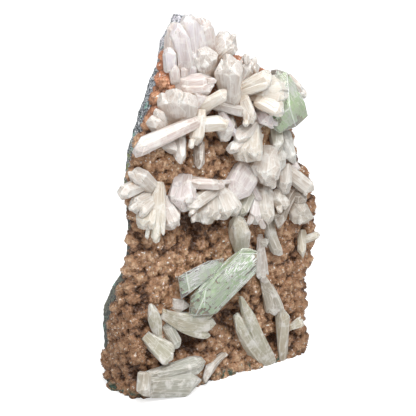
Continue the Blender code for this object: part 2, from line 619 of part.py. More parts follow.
def finish(obj, colour, roughness, transmission=0.0):
    obj.data.materials.clear()
    obj.data.materials.append(principled(obj.name, colour, roughness, transmission=transmission))


def build_rock():
    """The basalt and its crust, and two helpers that stand for them with clearance."""
    basalt = basalt_body("basalt_matrix")
    bed = basalt_body("crust_bed", grow=GAP)
    surface = Crust()
    rise = surface.lumpy_rise()
    blank = surface.blank("druse_crust", rise)
    boolean(blank, "DIFFERENCE", bed)
    crust = split(blank)[-1]
    crust.name = "druse_crust"
    finish(basalt, (0.16, 0.17, 0.16), 0.85)
    finish(crust, (0.42, 0.22, 0.14), 0.5)
    stand = Crust(STAND_COLUMNS, STAND_ROWS, STAND_MARGIN)
    return bed, stand.blank("crust_clearance", stand.rise_over(surface, rise))


def build_apophyllite(rock):
    """The glassy crystals, and a helper for each that keeps the stilbite clear of it."""
    shapes = (LONG_APOPHYLLITE, CLEAR_PLATE, GREEN_BLOCK)
    long_crystal, plate, block = (blocky_body("apophyllite", shape) for shape in shapes)
    for name, solid in (("apophyllite_crystal", unite([long_crystal, plate])), ("green_apophyllite", block)):
        for helper in rock:
            boolean(solid, "DIFFERENCE", helper)
        crystal = split(solid)[-1]
        crystal.name = name
        finish(crystal, (0.78, 0.9, 0.8), 0.06, transmission=0.9)
    return [blocky_body("apophyllite_clearance", shape, GAP) for shape in shapes]


def build_stilbite(rock, clearances):
    """Every stilbite crystal, cut off at the rock; those that overlap become one solid."""
    raw = [crystal_body("stilbite", crystal) for crystal in STILBITE]
    used = {}
    for group in grown_together(raw):
        solid = unite([raw[i] for i in group])
        for helper in (*rock, *clearances):
            boolean(solid, "DIFFERENCE", helper)
        for body in reversed(split(solid)):
            cluster = cluster_of(body, [STILBITE[i] for i in group])
            used[cluster] = used.get(cluster, 0) + 1
            body.name = cluster if used[cluster] == 1 else f"{cluster}_{used[cluster]}"
            finish(body, (0.85, 0.8, 0.76), 0.35)


def main():
    for obj in list(bpy.data.objects):
        bpy.data.objects.remove(obj)
    rock = build_rock()
    clearances = build_apophyllite(rock)
    build_stilbite(rock, clearances)
    remove(*rock, *clearances)


if __name__ == "__main__":
    main()
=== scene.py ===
"""Finished look of the apophyllite cluster: basalt, druse crust, satin stilbite and glassy apophyllite.

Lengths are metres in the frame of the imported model: +Z up, the crystal covered face towards -Y.
Crystals are placed by where their ends show in the reference view, which is also the camera's.
"""

from __future__ import annotations

import logging
import math
from collections.abc import Iterable, Iterator
from dataclasses import dataclass, field
from enum import Enum
from functools import cache

import bmesh
import bpy
import numpy as np
from mathutils import Matrix, Vector, noise
from mathutils.bvhtree import BVHTree

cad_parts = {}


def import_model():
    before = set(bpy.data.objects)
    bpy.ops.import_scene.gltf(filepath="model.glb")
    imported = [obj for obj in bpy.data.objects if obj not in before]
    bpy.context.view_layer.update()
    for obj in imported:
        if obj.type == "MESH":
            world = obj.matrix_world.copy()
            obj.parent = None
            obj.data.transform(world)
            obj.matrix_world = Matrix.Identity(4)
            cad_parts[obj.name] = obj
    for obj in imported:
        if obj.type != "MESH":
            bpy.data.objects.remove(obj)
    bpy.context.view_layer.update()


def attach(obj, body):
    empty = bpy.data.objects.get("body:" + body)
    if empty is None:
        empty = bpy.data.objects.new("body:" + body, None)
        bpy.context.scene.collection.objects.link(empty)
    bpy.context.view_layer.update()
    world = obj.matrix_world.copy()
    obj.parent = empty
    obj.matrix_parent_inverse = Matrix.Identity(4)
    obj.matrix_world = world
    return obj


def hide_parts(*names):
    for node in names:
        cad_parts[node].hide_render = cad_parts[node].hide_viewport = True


log = logging.getLogger("apophyllite_cluster")

MM = 0.001
WEST, EAST = -1, 1
Colour = tuple[float, float, float]
Pixel = tuple[float, float]
Corner = tuple[float, float, float]
Table = tuple[tuple[float, float], ...]
Face = tuple[Vector, Vector]
Node = bpy.types.Node
Socket = bpy.types.NodeSocket
BMesh = bmesh.types.BMesh


@dataclass(frozen=True)
class ReferenceView:
    """The view that the crystals are placed by, the camera along it, and the face's leaning plane."""

    face_front: float = -22 * MM
    face_lean: float = math.radians(6)
    azimuth: float = math.radians(-34)
    elevation: float = math.radians(19)
    distance: float = 620 * MM
    target: tuple[float, float, float] = (0.8 * MM, -10 * MM, 69 * MM)
    centre_px: float = 208
    pixel: float = 0.4 * MM
    sensor: float = 36.0

    def face_y(self, height: float) -> float:
        """Where the face's plane is at a height."""
        return self.face_front + height * math.tan(self.face_lean)

    @property
    def right(self) -> Vector:
        """Direction to the right in the picture."""
        return Vector((math.cos(self.azimuth), math.sin(self.azimuth), 0))

    @property
    def towards(self) -> Vector:
        """Direction from the target to the viewer."""
        level = math.cos(self.elevation)
        east, north = math.sin(self.azimuth), -math.cos(self.azimuth)
        return Vector((east * level, north * level, math.sin(self.elevation)))

    @property
    def eye(self) -> Vector:
        """Where the viewer stands."""
        return Vector(self.target) + self.towards * self.distance

    def point(self, x: float, y: float, out: float) -> Vector:
        """Finds the point seen at a pixel in front of the face.

        Args:
            x: Pixels from the picture's left.
            y: Pixels from its top.
            out: Millimetres that the point stands in front of the leaning plane.

        Returns:
            The point in the model's frame.
        """
        across = (x - self.centre_px) * self.pixel
        above = (self.centre_px - y) * self.pixel
        up = self.towards.cross(self.right)
        ray = self.right * across + up * above - self.towards * self.distance
        slope = math.tan(self.face_lean)
        start = self.face_front + slope * self.eye.z - out * MM - self.eye.y
        return self.eye + ray * (start / (ray.y - slope * ray.z))

    def add_camera(self) -> None:
        """Creates the camera and makes it the scene's."""
        data = bpy.data.cameras.new("photo_camera")
        data.sensor_width = self.sensor
        data.lens = self.distance / self.pixel * self.sensor / (2 * self.centre_px)
        data.clip_start = 10 * MM
        camera = bpy.data.objects.new("photo_camera", data)
        camera.location = self.eye
        camera.rotation_euler = self.towards.to_track_quat("Z", "Y").to_euler()
        bpy.context.scene.collection.objects.link(camera)
        bpy.context.scene.camera = camera


VIEW = ReferenceView()


@dataclass
class Graph:
    """Adds and joins the nodes of one node tree."""

    tree: bpy.types.NodeTree

    def feed(self, node: Node, inputs: dict) -> None:
        """Sets or links a node's inputs.

        Args:
            node: The node.
            inputs: A value, or an output to link, for each input by name or number.
        """
        for name, value in inputs.items():
            socket = node.inputs[name]
            if isinstance(value, Socket):
                self.tree.links.new(value, socket)
            elif socket.type == "RGBA" and len(value) == 3:
                socket.default_value = (*value, 1.0)
            else:
                socket.default_value = value

    def add(self, kind: str, inputs: dict | None = None, **settings: object) -> Node:
        """Adds a node.

        Args:
            kind: Blender's name of the node's type.
            inputs: A value, or an output to link, for each input.
            settings: Properties of the node itself.

        Returns:
            The new node.
        """
        node = self.tree.nodes.new(kind)
        for name, value in settings.items():
            setattr(node, name, value)
        self.feed(node, inputs or {})
        return node

    def place(self) -> Socket:
        """Gives the point in the piece's own coordinates."""
        return self.add("ShaderNodeTexCoord").outputs["Object"]

    def attribute(self, name: str) -> bpy.types.bpy_prop_collection:
        """Gives the outputs that read one of the mesh's attributes."""
        return self.add("ShaderNodeAttribute", attribute_name=name).outputs

    def parts(self, vector: Socket) -> bpy.types.bpy_prop_collection:
        """Gives the X, Y and Z of a vector."""
        return self.add("ShaderNodeSeparateXYZ", {0: vector}).outputs

    def mix(self, share: object, low: object, high: object, mode: str = "MIX") -> Socket:
        """Mixes two colours.

        Args:
            share: How much of the second colour shows.
            low: The first colour.
            high: The second colour.
            mode: How they combine.

        Returns:
            The mixed colour.
        """
        inputs = {0: share, 6: low, 7: high}
        return self.add("ShaderNodeMix", inputs, data_type="RGBA", blend_type=mode).outputs[2]

    def maths(self, operation: str, first: object, second: object, clamp: bool = False) -> Socket:
        """Works out one sum, kept from 0 to 1 where clamp says so."""
        inputs = {0: first, 1: second}
        return self.add("ShaderNodeMath", inputs, operation=operation, use_clamp=clamp).outputs[0]

    def times(self, first: object, second: object) -> Socket:
        """Multiplies two masks."""
        return self.maths("MULTIPLY", first, second, clamp=True)

    def vector(self, operation: str, first: object, second: object = (0, 0, 0)) -> Socket:
        """Works out one sum of vectors."""
        return self.add("ShaderNodeVectorMath", {0: first, 1: second}, operation=operation).outputs[0]

    def ramp(self, value: object, low: float, high: float, start: float = 0.0, end: float = 1.0) -> Socket:
        """Maps a value smoothly from one range onto another.

        Args:
            value: The value to map.
            low: Start of its range.
            high: End of its range.
            start: Result at the start.
            end: Result at the end.

        Returns:
            The mapped value.
        """
        inputs = {"Value": value, "From Min": low, "From Max": high, "To Min": start, "To Max": end}
        return self.add("ShaderNodeMapRange", inputs, interpolation_type="SMOOTHSTEP").outputs["Result"]

    def noise(self, vector: Socket, scale: object, detail: float = 2.0, roughness: float = 0.5) -> Socket:
        """Adds noise and gives its value."""
        inputs = {"Vector": vector, "Scale": scale, "Detail": detail, "Roughness": roughness}
        return self.add("ShaderNodeTexNoise", inputs).outputs["Fac"]

    def relief(self, height: Socket, strength: float, depth: float, normal: Socket | None = None) -> Socket:
        """Turns a height into a bumpy normal."""
        inputs = {"Height": height, "Strength": strength, "Distance": depth}
        if normal:
            inputs["Normal"] = normal
        return self.add("ShaderNodeBump", inputs).outputs["Normal"]


def new_group(name: str, inputs: dict, outputs: dict) -> tuple[Graph, bpy.types.bpy_prop_collection, Node]:
    """Starts a shader node group that reads a vector first.

    Args:
        name: Name of the group.
        inputs: Default value of each number that it takes.
        outputs: Socket type of each output.

    Returns:
        The group's graph, what it is given, and its output node.
    """
    graph = Graph(bpy.data.node_groups.new(name, "ShaderNodeTree"))
    sockets = graph.tree.interface
    sockets.new_socket("Vector", in_out="INPUT", socket_type="NodeSocketVector")
    for label, value in inputs.items():
        socket = sockets.new_socket(label, in_out="INPUT", socket_type="NodeSocketFloat")
        socket.default_value = value
    for label, kind in outputs.items():
        sockets.new_socket(label, in_out="OUTPUT", socket_type=f"NodeSocket{kind}")
    return graph, graph.add("NodeGroupInput").outputs, graph.add("NodeGroupOutput")


@cache
def facet_group() -> bpy.types.NodeTree:
    """Makes the group of small crystal faces, each with its own tilt and random value."""
    numbers = {"Per Metre": 1200.0, "Tilt": 0.5}
    graph, given, end = new_group("facets", numbers, {"Normal": "Vector", "Value": "Float"})
    cells = graph.add("ShaderNodeTexVoronoi", {"Vector": given[0], "Scale": given[1]}).outputs["Color"]
    centred = graph.vector("SUBTRACT", cells, (0.5, 0.5, 0.5))
    tilt = graph.add("ShaderNodeVectorMath", {0: centred, "Scale": given[2]}, operation="SCALE")
    normal = graph.add("ShaderNodeNewGeometry").outputs["Normal"]
    turned = graph.vector("NORMALIZE", graph.vector("ADD", normal, tilt.outputs[0]))
    value = graph.add("ShaderNodeSeparateColor", {0: cells}).outputs[0]
    graph.feed(end, {"Normal": turned, "Value": value})
    return graph.tree


@cache
def patch_group() -> bpy.types.NodeTree:
    """Makes the group of soft edged patches."""
    numbers = {"Per Metre": 200.0, "Cover": 0.5, "Softness": 0.1}
    graph, given, end = new_group("patches", numbers, {"Mask": "Float"})
    level = graph.maths("SUBTRACT", 1.0, given[2])
    top = graph.maths("ADD", level, given[3])
    graph.feed(end, {"Mask": graph.ramp(graph.noise(given[0], given[1], 4.0, 0.6), level, top)})
    return graph.tree


def facets(graph: Graph, vector: Socket, per_metre: float, tilt: object) -> tuple[Socket, Socket]:
    """Places small crystal faces, and gives their normal and random value."""
    inputs = {"Vector": vector, "Per Metre": per_metre, "Tilt": tilt}
    normal, value = graph.add("ShaderNodeGroup", inputs, node_tree=facet_group()).outputs
    return normal, value


def patches(graph: Graph, vector: Socket, per_metre: float, cover: float, softness: float = 0.1) -> Socket:
    """Places soft edged patches, and gives their mask."""
    inputs = {"Vector": vector, "Per Metre": per_metre, "Cover": cover, "Softness": softness}
    return graph.add("ShaderNodeGroup", inputs, node_tree=patch_group()).outputs["Mask"]


@dataclass(frozen=True)
class Finish:
    """A finish. Each kind paints the nodes of its own material."""

    name: str

    def paint(self, graph: Graph, shader: Node) -> None:
        """Adds the finish's nodes and joins them to the Principled shader."""
        raise NotImplementedError

    @cache
    def material(self) -> bpy.types.Material:
        """Makes the material, once."""
        material = bpy.data.materials.new(self.name)
        material.use_nodes = True
        self.paint(Graph(material.node_tree), material.node_tree.nodes["Principled BSDF"])
        return material


@dataclass(frozen=True)
class DruseFinish(Finish):
    """Brown sugary druse: painted shade in the crevices, paler tips that are partly painted light, and
    small sparkling faces, some painted white as glints.
    """

    name: str = "druse"
    # crevice is painted shade; tip is partly the crystals' own paler colour and partly painted light.
    crevice: Colour = (0.085, 0.036, 0.016)
    body: Colour = (0.37, 0.20, 0.105)
    tip: Colour = (0.62, 0.41, 0.26)
    peach: Colour = (0.78, 0.38, 0.23)
    # Near white painted on single facets as glints: painted highlight.
    sugar_glint: Colour = (0.88, 0.82, 0.77)
    # Painted shade for the lower left and the right side.
    side_shade: Colour = (0.72, 0.66, 0.60)
    moss: Colour = (0.035, 0.075, 0.05)

    def paint(self, graph: Graph, shader: Node) -> None:
        """Paints by the crust's height attribute, which runs from crevice to tip: painted shade in the
        crevices, paler tips partly by painted light.
        """
        place, height = graph.place(), graph.attribute("height")["Fac"]
        across, _, up = graph.parts(place)
        normal, sparkle = facets(graph, place, 1500.0, 1.1)
        # Height with noise: near black painted shade in the crevices, paler on the tips.
        worn = graph.maths("ADD", height, graph.noise(place, 1100.0, 3.0, 0.65))
        colour = graph.mix(graph.ramp(worn, 0.45, 1.0), self.crevice, self.body)
        colour = graph.mix(graph.ramp(worn, 1.05, 1.55), colour, self.tip)
        warm = graph.mix(0.35, graph.mix(0.8, colour, self.peach, "MULTIPLY"), self.peach)
        uneven = graph.ramp(graph.noise(place, 90.0), 0.35, 0.65, 0.45, 1.0)
        colour = graph.mix(graph.times(graph.ramp(up, 100 * MM, 118 * MM), uneven), colour, warm)
        # Painted glints: near white on the brightest random facets of the lumps.
        painted_glint = graph.times(graph.ramp(sparkle, 0.955, 0.975), graph.ramp(height, 0.2, 0.7))
        colour = graph.mix(painted_glint, colour, self.sugar_glint)
        # Painted shade: darker on the lower left and along the right side.
        left, low = graph.ramp(across, -26 * MM, -12 * MM, 1, 0), graph.ramp(up, 30 * MM, 60 * MM, 1, 0)
        right = graph.ramp(across, 22 * MM, 36 * MM, 0.0, 0.8)
        side_shade = graph.maths("ADD", graph.times(left, low), right, clamp=True)
        colour = graph.mix(graph.times(side_shade, 0.8), colour, self.side_shade, "MULTIPLY")
        near_base = graph.ramp(up, 1.5 * MM, 4.5 * MM, 1, 0)
        colour = graph.mix(graph.times(near_base, patches(graph, place, 300.0, 0.5)), colour, self.moss)
        look = {
            "Base Color": colour,
            "Roughness": graph.ramp(sparkle, 0.0, 1.0, 0.2, 0.55),
            "Normal": normal,
            "Subsurface Weight": 0.12,
            "Subsurface Radius": (1.0, 0.5, 0.3),
            "Subsurface Scale": 1.2 * MM,
            "Specular IOR Level": 0.6,
        }
        graph.feed(shader, look)


@dataclass(frozen=True)
class BasaltFinish(Finish):
    """Broken basalt: salt and pepper grains, blue grey at the top and olive grey lower down."""

    name: str = "basalt"
    dark: Colour = (0.035, 0.04, 0.042)
    olive: Colour = (0.23, 0.235, 0.18)
    blue: Colour = (0.47, 0.50, 0.55)
    white: Colour = (0.80, 0.82, 0.84)
    lilac: Colour = (0.74, 0.70, 0.76)
    green: Colour = (0.22, 0.25, 0.09)
    turquoise: Colour = (0.24, 0.44, 0.38)

    def paint(self, graph: Graph, shader: Node) -> None:
        """Paints grains, then the flecks and spots over them."""
        place = graph.place()
        up = graph.parts(place)["Z"]
        pale = graph.mix(graph.ramp(up, 70 * MM, 105 * MM), self.olive, self.blue)
        grains = graph.ramp(graph.noise(place, 1300.0, 3.0, 0.7), 0.42, 0.6)
        colour = graph.mix(grains, self.dark, pale)
        drift = graph.ramp(graph.noise(place, 130.0, 3.0), 0.35, 0.7, 0.0, 0.55)
        colour = graph.mix(drift, colour, self.dark)
        fleck = graph.ramp(graph.noise(place, 1500.0), 0.56, 0.62)
        speckle = graph.ramp(graph.noise(place, 800.0, 3.0, 0.6), 0.47, 0.6)
        band = graph.times(graph.ramp(up, 60 * MM, 72 * MM), graph.ramp(up, 92 * MM, 104 * MM, 1, 0))
        for mask, where, tone in (
            (fleck, graph.ramp(up, 60 * MM, 110 * MM, 0.15, 0.8), self.white),
            (speckle, graph.ramp(up, 128 * MM, 136 * MM), self.lilac),
            (patches(graph, place, 520.0, 0.5), band, self.green),
            (patches(graph, place, 330.0, 0.4), 1.0, self.turquoise),
        ):
            colour = graph.mix(graph.times(mask, where), colour, tone)
        fine = graph.noise(place, 900.0, 5.0, 0.7)
        look = {
            "Base Color": colour,
            "Roughness": graph.ramp(grains, 0.0, 1.0, 0.6, 0.9),
            "Normal": graph.relief(fine, 0.7, 0.4 * MM),
        }
        graph.feed(shader, look)


@dataclass(frozen=True)
class StilbiteFinish(Finish):
    """Satin stilbite: pearly, faintly translucent, beige at the root and white at the tip, with painted
    shade lower down and in the gaps and painted highlights on the edges.
    """

    name: str = "stilbite"
    white: Colour = (0.94, 0.92, 0.88)
    root: Colour = (0.72, 0.62, 0.52)
    shade: Colour = (0.78, 0.70, 0.62)
    # Painted shade: warm darkening in the gaps between crystals.
    gap: Colour = (0.70, 0.52, 0.38)
    # Painted shade for the lower crystals.
    low_shade: Colour = (0.78, 0.78, 0.70)

    def paint(self, graph: Graph, shader: Node) -> None:
        """Paints over each crystal's own tint, by its grain and its length, with a painted highlight on its
        bevelled edges and at grazing angles, and painted shade lower down and in its gaps.
        """
        place, grain = graph.place(), graph.attribute("grain")["Vector"]
        tint = graph.attribute("tint")
        along, up = tint["Alpha"], graph.parts(place)["Z"]
        streaks = graph.noise(grain, 1700.0, 3.0, 0.65)
        sugar_glint = graph.times(patches(graph, place, 420.0, 0.48, 0.12), graph.ramp(along, 0.6, 0.98))
        # Facing weight, for a painted sheen towards grazing angles.
        rim = graph.add("ShaderNodeLayerWeight", {"Blend": 0.35}).outputs["Facing"]
        colour = tint["Color"]
        for mask, tone in (
            (graph.ramp(along, 0.0, 0.55, 0.5, 0.0), self.root),
            (graph.ramp(graph.noise(grain, 300.0), 0.36, 0.58, 0.4, 0.0), self.shade),
            (graph.ramp(streaks, 0.34, 0.5, 0.5, 0.0), self.shade),
            # Painted shade: darker and yellower lower down the specimen.
            (graph.ramp(up, 36 * MM, 108 * MM, 1.0, 0.0), self.low_shade),
        ):
            colour = graph.mix(mask, colour, tone, "MULTIPLY")
        for mask in (
            graph.ramp(streaks, 0.5, 0.64, 0.0, 0.45),
            graph.ramp(graph.noise(place, 260.0, 5.0, 0.65), 0.48, 0.64, 0.0, 0.7),
            # Painted sheen: whiter towards grazing angles.
            graph.ramp(rim, 0.35, 1.0, 0.0, 0.6),
            graph.times(sugar_glint, 0.6),
            # Painted highlight along the bevelled edges.
            graph.times(graph.attribute("worn")["Fac"], 0.45),
        ):
            colour = graph.mix(mask, colour, self.white)
        # Painted shade: warm darkening where the crystals round a point shut it in.
        between = graph.ramp(graph.attribute("gap")["Fac"], 0.25, 1.0, 0.0, 0.7)
        tilt = graph.add("ShaderNodeMath", {0: sugar_glint, 1: 0.9, 2: 0.05}, operation="MULTIPLY_ADD")
        normal, _ = facets(graph, grain, 900.0, tilt.outputs[0])
        rough = graph.ramp(streaks, 0.3, 0.7, 0.3, 0.5)
        look = {
            "Base Color": graph.mix(between, colour, self.gap, "MULTIPLY"),
            "Roughness": graph.mix(sugar_glint, rough, (0.16, 0.16, 0.16)),
            "Normal": graph.relief(streaks, 0.5, 0.25 * MM, normal),
            "Transmission Weight": 0.26,
            "Subsurface Weight": 0.8,
            "Subsurface Radius": (1.0, 0.93, 0.88),
            "Subsurface Scale": 1.4 * MM,
            "Specular IOR Level": 0.6,
            "Coat Weight": 0.4,
            "Coat Roughness": 0.12,
        }
        graph.feed(shader, look)


@dataclass(frozen=True)
class GlassyFinish(Finish):
    """Glassy apophyllite: see-through, tinted, with cloudy streaks."""

    clear: Colour
    cloudy: Colour
    absorption: Colour
    density: float
    transmission: float
    refraction: float = 1.535

    def paint(self, graph: Graph, shader: Node) -> None:
        """Paints streaks that follow the crystal's own grain, and the tint of its inside."""
        place, grain = graph.place(), graph.attribute("grain")["Vector"]
        streaks = graph.noise(grain, 900.0, 4.0, 0.65)
        cloud = graph.ramp(graph.noise(place, 150.0, 3.0), 0.46, 0.6, 0.0, 0.85)
        milky = graph.maths("MAXIMUM", graph.ramp(streaks, 0.5, 0.75, 0.0, 0.7), cloud)
        look = {
            "Base Color": graph.mix(milky, self.clear, self.cloudy),
            "Roughness": graph.ramp(streaks, 0.4, 0.75, 0.02, 0.16),
            "Normal": graph.relief(streaks, 0.3, 0.3 * MM),
            "Transmission Weight": self.transmission,
            "IOR": self.refraction,
        }
        graph.feed(shader, look)
        inside = {"Color": self.absorption, "Density": self.density}
        volume = graph.add("ShaderNodeVolumeAbsorption", inputs=inside).outputs[0]
        graph.feed(graph.tree.nodes["Material Output"], {"Volume": volume})


@dataclass(frozen=True)
class VeilFinish(Finish):
    """White, mint and grey flakes inside the glassy crystals; the broad, deep mint and grey ones partly
    stand in for light reflected inside the crystal, as painted reflection.
    """

    name: str = "veil"
    white: Colour = (1.0, 1.0, 0.99)
    mint: Colour = (0.56, 0.78, 0.40)
    grey: Colour = (0.60, 0.66, 0.53)

    def paint(self, graph: Graph, shader: Node) -> None:
        """Paints each flake by its whiteness."""
        cloudy = graph.ramp(graph.noise(graph.place(), 400.0, 3.0), 0.35, 0.65)
        deep = graph.mix(cloudy, self.mint, self.grey)
        colour = graph.mix(graph.attribute("whiteness")["Fac"], deep, self.white)
        graph.feed(shader, {"Base Color": colour, "Roughness": 0.25})


@dataclass(frozen=True)
class FloorFinish(Finish):
    """Pale matt floor, which glows a little where the camera sees it."""

    name: str = "floor"
    colour: Colour = (0.7, 0.7, 0.7)
    worn: Colour = (0.66, 0.66, 0.66)

    def paint(self, graph: Graph, shader: Node) -> None:
        """Paints a faint unevenness."""
        tone = graph.ramp(graph.noise(graph.place(), 3.0), 0.3, 0.7, 0.0, 0.05)
        seen = graph.add("ShaderNodeLightPath").outputs["Is Camera Ray"]
        look = {
            "Base Color": graph.mix(tone, self.colour, self.worn),
            "Roughness": 0.85,
            "Emission Color": (1, 1, 1),
            "Emission Strength": graph.ramp(seen, 0.0, 1.0, 0.0, 0.6),
        }
        graph.feed(shader, look)


def finished_piece(
    name: str, bm: BMesh, finish: Finish, slot: str, nodes: Iterable[str] = (), sharp_from: float = 35.0
) -> bpy.types.Object:
    """Makes an object of a mesh, and says what it stands for.

    Args:
        name: Name of the piece.
        bm: Its mesh, which is freed.
        finish: Its finish.
        slot: Name of a material slot; not used.
        nodes: CAD nodes that it stands for.
        sharp_from: Angle in degrees from which an edge shows as sharp.

    Returns:
        The new object.
    """
    mesh = bpy.data.meshes.new(name)
    bm.to_mesh(mesh)
    bm.free()
    mesh.shade_smooth()
    mesh.set_sharp_from_angle(angle=math.radians(sharp_from))
    mesh.materials.append(finish.material())
    piece = bpy.data.objects.new(name, mesh)
    bpy.context.scene.collection.objects.link(piece)
    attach(piece, "root")
    if nodes:
        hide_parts(*nodes)
    mesh.calc_loop_triangles()
    log.info("%s: %d triangles", name, len(mesh.loop_triangles))
    return piece


def evaluated(source: bpy.types.Object) -> BMesh:
    """Gives an object's mesh with its modifiers applied, and removes the object."""
    bm = bmesh.new()
    bm.from_object(source, bpy.context.evaluated_depsgraph_get())
    bpy.data.objects.remove(source)
    return bm


def working_object(mesh: bpy.types.Mesh) -> bpy.types.Object:
    """Links an object that modifiers can work on."""
    source = bpy.data.objects.new("working_" + mesh.name, mesh)
    bpy.context.scene.collection.objects.link(source)
    return source


@dataclass(frozen=True)
class Pit:
    """A hollow in the crust: where it shows, and its depth and radius in millimetres."""

    x: float
    y: float
    depth: float
    radius: float


@dataclass(frozen=True)
class Lumps:
    """One size of lump: seed and number of the draws, the least distance apart, and the radii."""

    seed: int
    tries: int
    spacing: float
    radii: tuple[float, float]


@dataclass
class DruseCrust:
    """The brown druse: a plan outline for each height, raised by lumps of small crystals."""

    crust_height: float = 140 * MM
    corner_rounding: float = 6.5 * MM
    wrap_flare: float = 0.1
    lip: float = 4 * MM
    right_side: float = 6.5 * MM
    columns: int = 300
    rows: int = 318
    lump_columns: int = 32
    lump_rows: int = 42
    large: Lumps = Lumps(7, 5200, 3.9 * MM, (2.3 * MM, 3.7 * MM))
    small: Lumps = Lumps(8, 9000, 1.9 * MM, (1.0 * MM, 1.9 * MM))
    lump_rise: float = 0.72
    warp: float = 0.75 * MM
    warp_scale: float = 2.6 * MM
    undulation: float = 1.1 * MM
    undulation_scale: float = 14 * MM
    grit: float = 0.5 * MM
    grit_scale: float = 1.3 * MM
    point_density: float = 1.28e6
    point_radius: float = 0.34 * MM
    point_seed: int = 7
    left_edge: Table = (
        (0, -40.5), (12, -40.5), (28, -41), (38, -39.5), (48, -38), (58, -37), (72, -36), (86, -36),
        (92, -34), (98, -32), (104, -28.5), (110, -25), (118, -22.5), (125, -19.5), (132, -17),
        (138, -13.5), (145, -5),
    )
    right_edge: Table = (
        (0, 41), (8, 43.5), (12, 41.5), (22, 43), (34, 43.5), (44, 46), (58, 50), (66, 50), (76, 46),
        (86, 41), (96, 38), (104, 42), (110, 44), (115, 40), (121, 28), (127, 17), (133, 9), (138, 4),
        (145, -1),
    )
    left_wrap: Table = (
        (0, 21), (12, 20), (20, 17), (27, 15), (33, 13), (38, 11), (43, 8.5), (50, 5), (58, 3), (145, 3),
    )
    pits: tuple[Pit, ...] = (
        Pit(183, 342, 6.0, 5.5), Pit(139, 376, 4.5, 4.0), Pit(226, 315, 3.5, 4.0),
        Pit(273, 340, 3.5, 4.0), Pit(196, 224, 3.0, 8.0), Pit(212, 110, 4.0, 7.0),
        Pit(136, 309, 2.5, 3.5),
    )

    @staticmethod
    def along(table: Table, height: float) -> float:
        """Value at a height of a table in millimetres, in metres."""
        heights, values = zip(*table)
        return float(np.interp(height / MM, heights, values)) * MM

    def outline(self, height: float) -> list[Vector]:
        """Plan outline of the bare crust at a height, from its left rear end to its right one."""
        tables = (self.left_edge, self.right_edge, self.left_wrap)
        left, right, wrap = (self.along(table, height) for table in tables)
        y = VIEW.face_y(height)
        rear = Vector((left - self.wrap_flare * wrap, y + wrap))
        corner, end = Vector((left, y)), Vector((right, y))
        cut = min(self.corner_rounding, wrap)
        before = corner.lerp(rear, cut / (rear - corner).length)
        after = corner.lerp(end, cut / (end - corner).length)
        shares = (0, 0.25, 0.5, 0.75, 1)
        arc = [before * (1 - t) ** 2 + corner * 2 * t * (1 - t) + after * t * t for t in shares]
        return [rear, *arc, end]

    def surface(self, columns: int, rows: int, ends: bool) -> tuple[np.ndarray, np.ndarray]:
        """Lays out the bare surface, evenly along the outline of each height.

        Args:
            columns: Points along each plan outline.
            rows: Heights.
            ends: Whether the crust's two broken ends are part of the outline.

        Returns:
            Points and outward directions, each of rows by columns by three.
        """
        points, outward = np.zeros((2, rows, columns, 3))
        for row, height in enumerate(np.linspace(0, self.crust_height, rows)):
            line = self.outline(height)
            if ends:
                line = [line[0] + Vector((self.lip, 0)), *line, line[-1] + Vector((0, self.right_side))]
            steps = [(b - a).length for a, b in zip(line, line[1:])]
            lengths = np.concatenate([[0.0], np.cumsum(steps)])
            places = np.linspace(0, lengths[-1], columns)
            x, y = (np.interp(places, lengths, [point[axis] for point in line]) for axis in (0, 1))
            way_x, way_y = np.gradient(x), np.gradient(y)
            size = np.hypot(way_x, way_y)
            points[row] = np.stack([x, y, np.full(columns, height)], axis=-1)
            outward[row, :, 0], outward[row, :, 1] = way_y / size, -way_x / size
        return points, outward

    def scattered(self, lumps: Lumps) -> np.ndarray:
        """Scatters lumps over the bare surface, and gives the centre and radius of each."""
        points, _ = self.surface(self.lump_columns, self.lump_rows, ends=False)
        rng = np.random.default_rng(lumps.seed)
        kept = np.empty((0, 4))
        for _ in range(lumps.tries):
            row, row_share = divmod(rng.uniform(0, points.shape[0] - 1), 1)
            column, column_share = divmod(rng.uniform(0, points.shape[1] - 1), 1)
            radius = rng.uniform(*lumps.radii)
            patch = points[int(row):int(row) + 2, int(column):int(column) + 2]
            low, high = patch[0] + (patch[1] - patch[0]) * row_share
            centre = low + (high - low) * column_share
            if np.all(np.sum((kept[:, :3] - centre) ** 2, axis=1) > lumps.spacing**2):
                kept = np.vstack([kept, [*centre, radius]])
        return kept

    def domes(self, points: np.ndarray, lumps: Lumps) -> tuple[np.ndarray, np.ndarray]:
        """Works out domes over one size of lump.

        Args:
            points: Points of the surface, in rows of rising height.
            lumps: The size of lump.

        Returns:
            How far each point rises, and its share of the way from crevice to tip.
        """
        rise, share = np.zeros((2, *points.shape[:2]))
        row_height = self.crust_height / (points.shape[0] - 1)
        for *centre, radius in self.scattered(lumps):
            reach = radius + 2 * self.warp
            first = max(0, int((centre[2] - reach) / row_height))
            band = slice(first, int((centre[2] + reach) / row_height) + 2)
            away = np.sum((points[band] - np.array(centre)) ** 2, axis=-1) / radius**2
            dome = np.sqrt(np.clip(1 - away, 0, None))
            rise[band] = np.maximum(rise[band], self.lump_rise * radius * dome)
            share[band] = np.maximum(share[band], dome)
        return rise, share

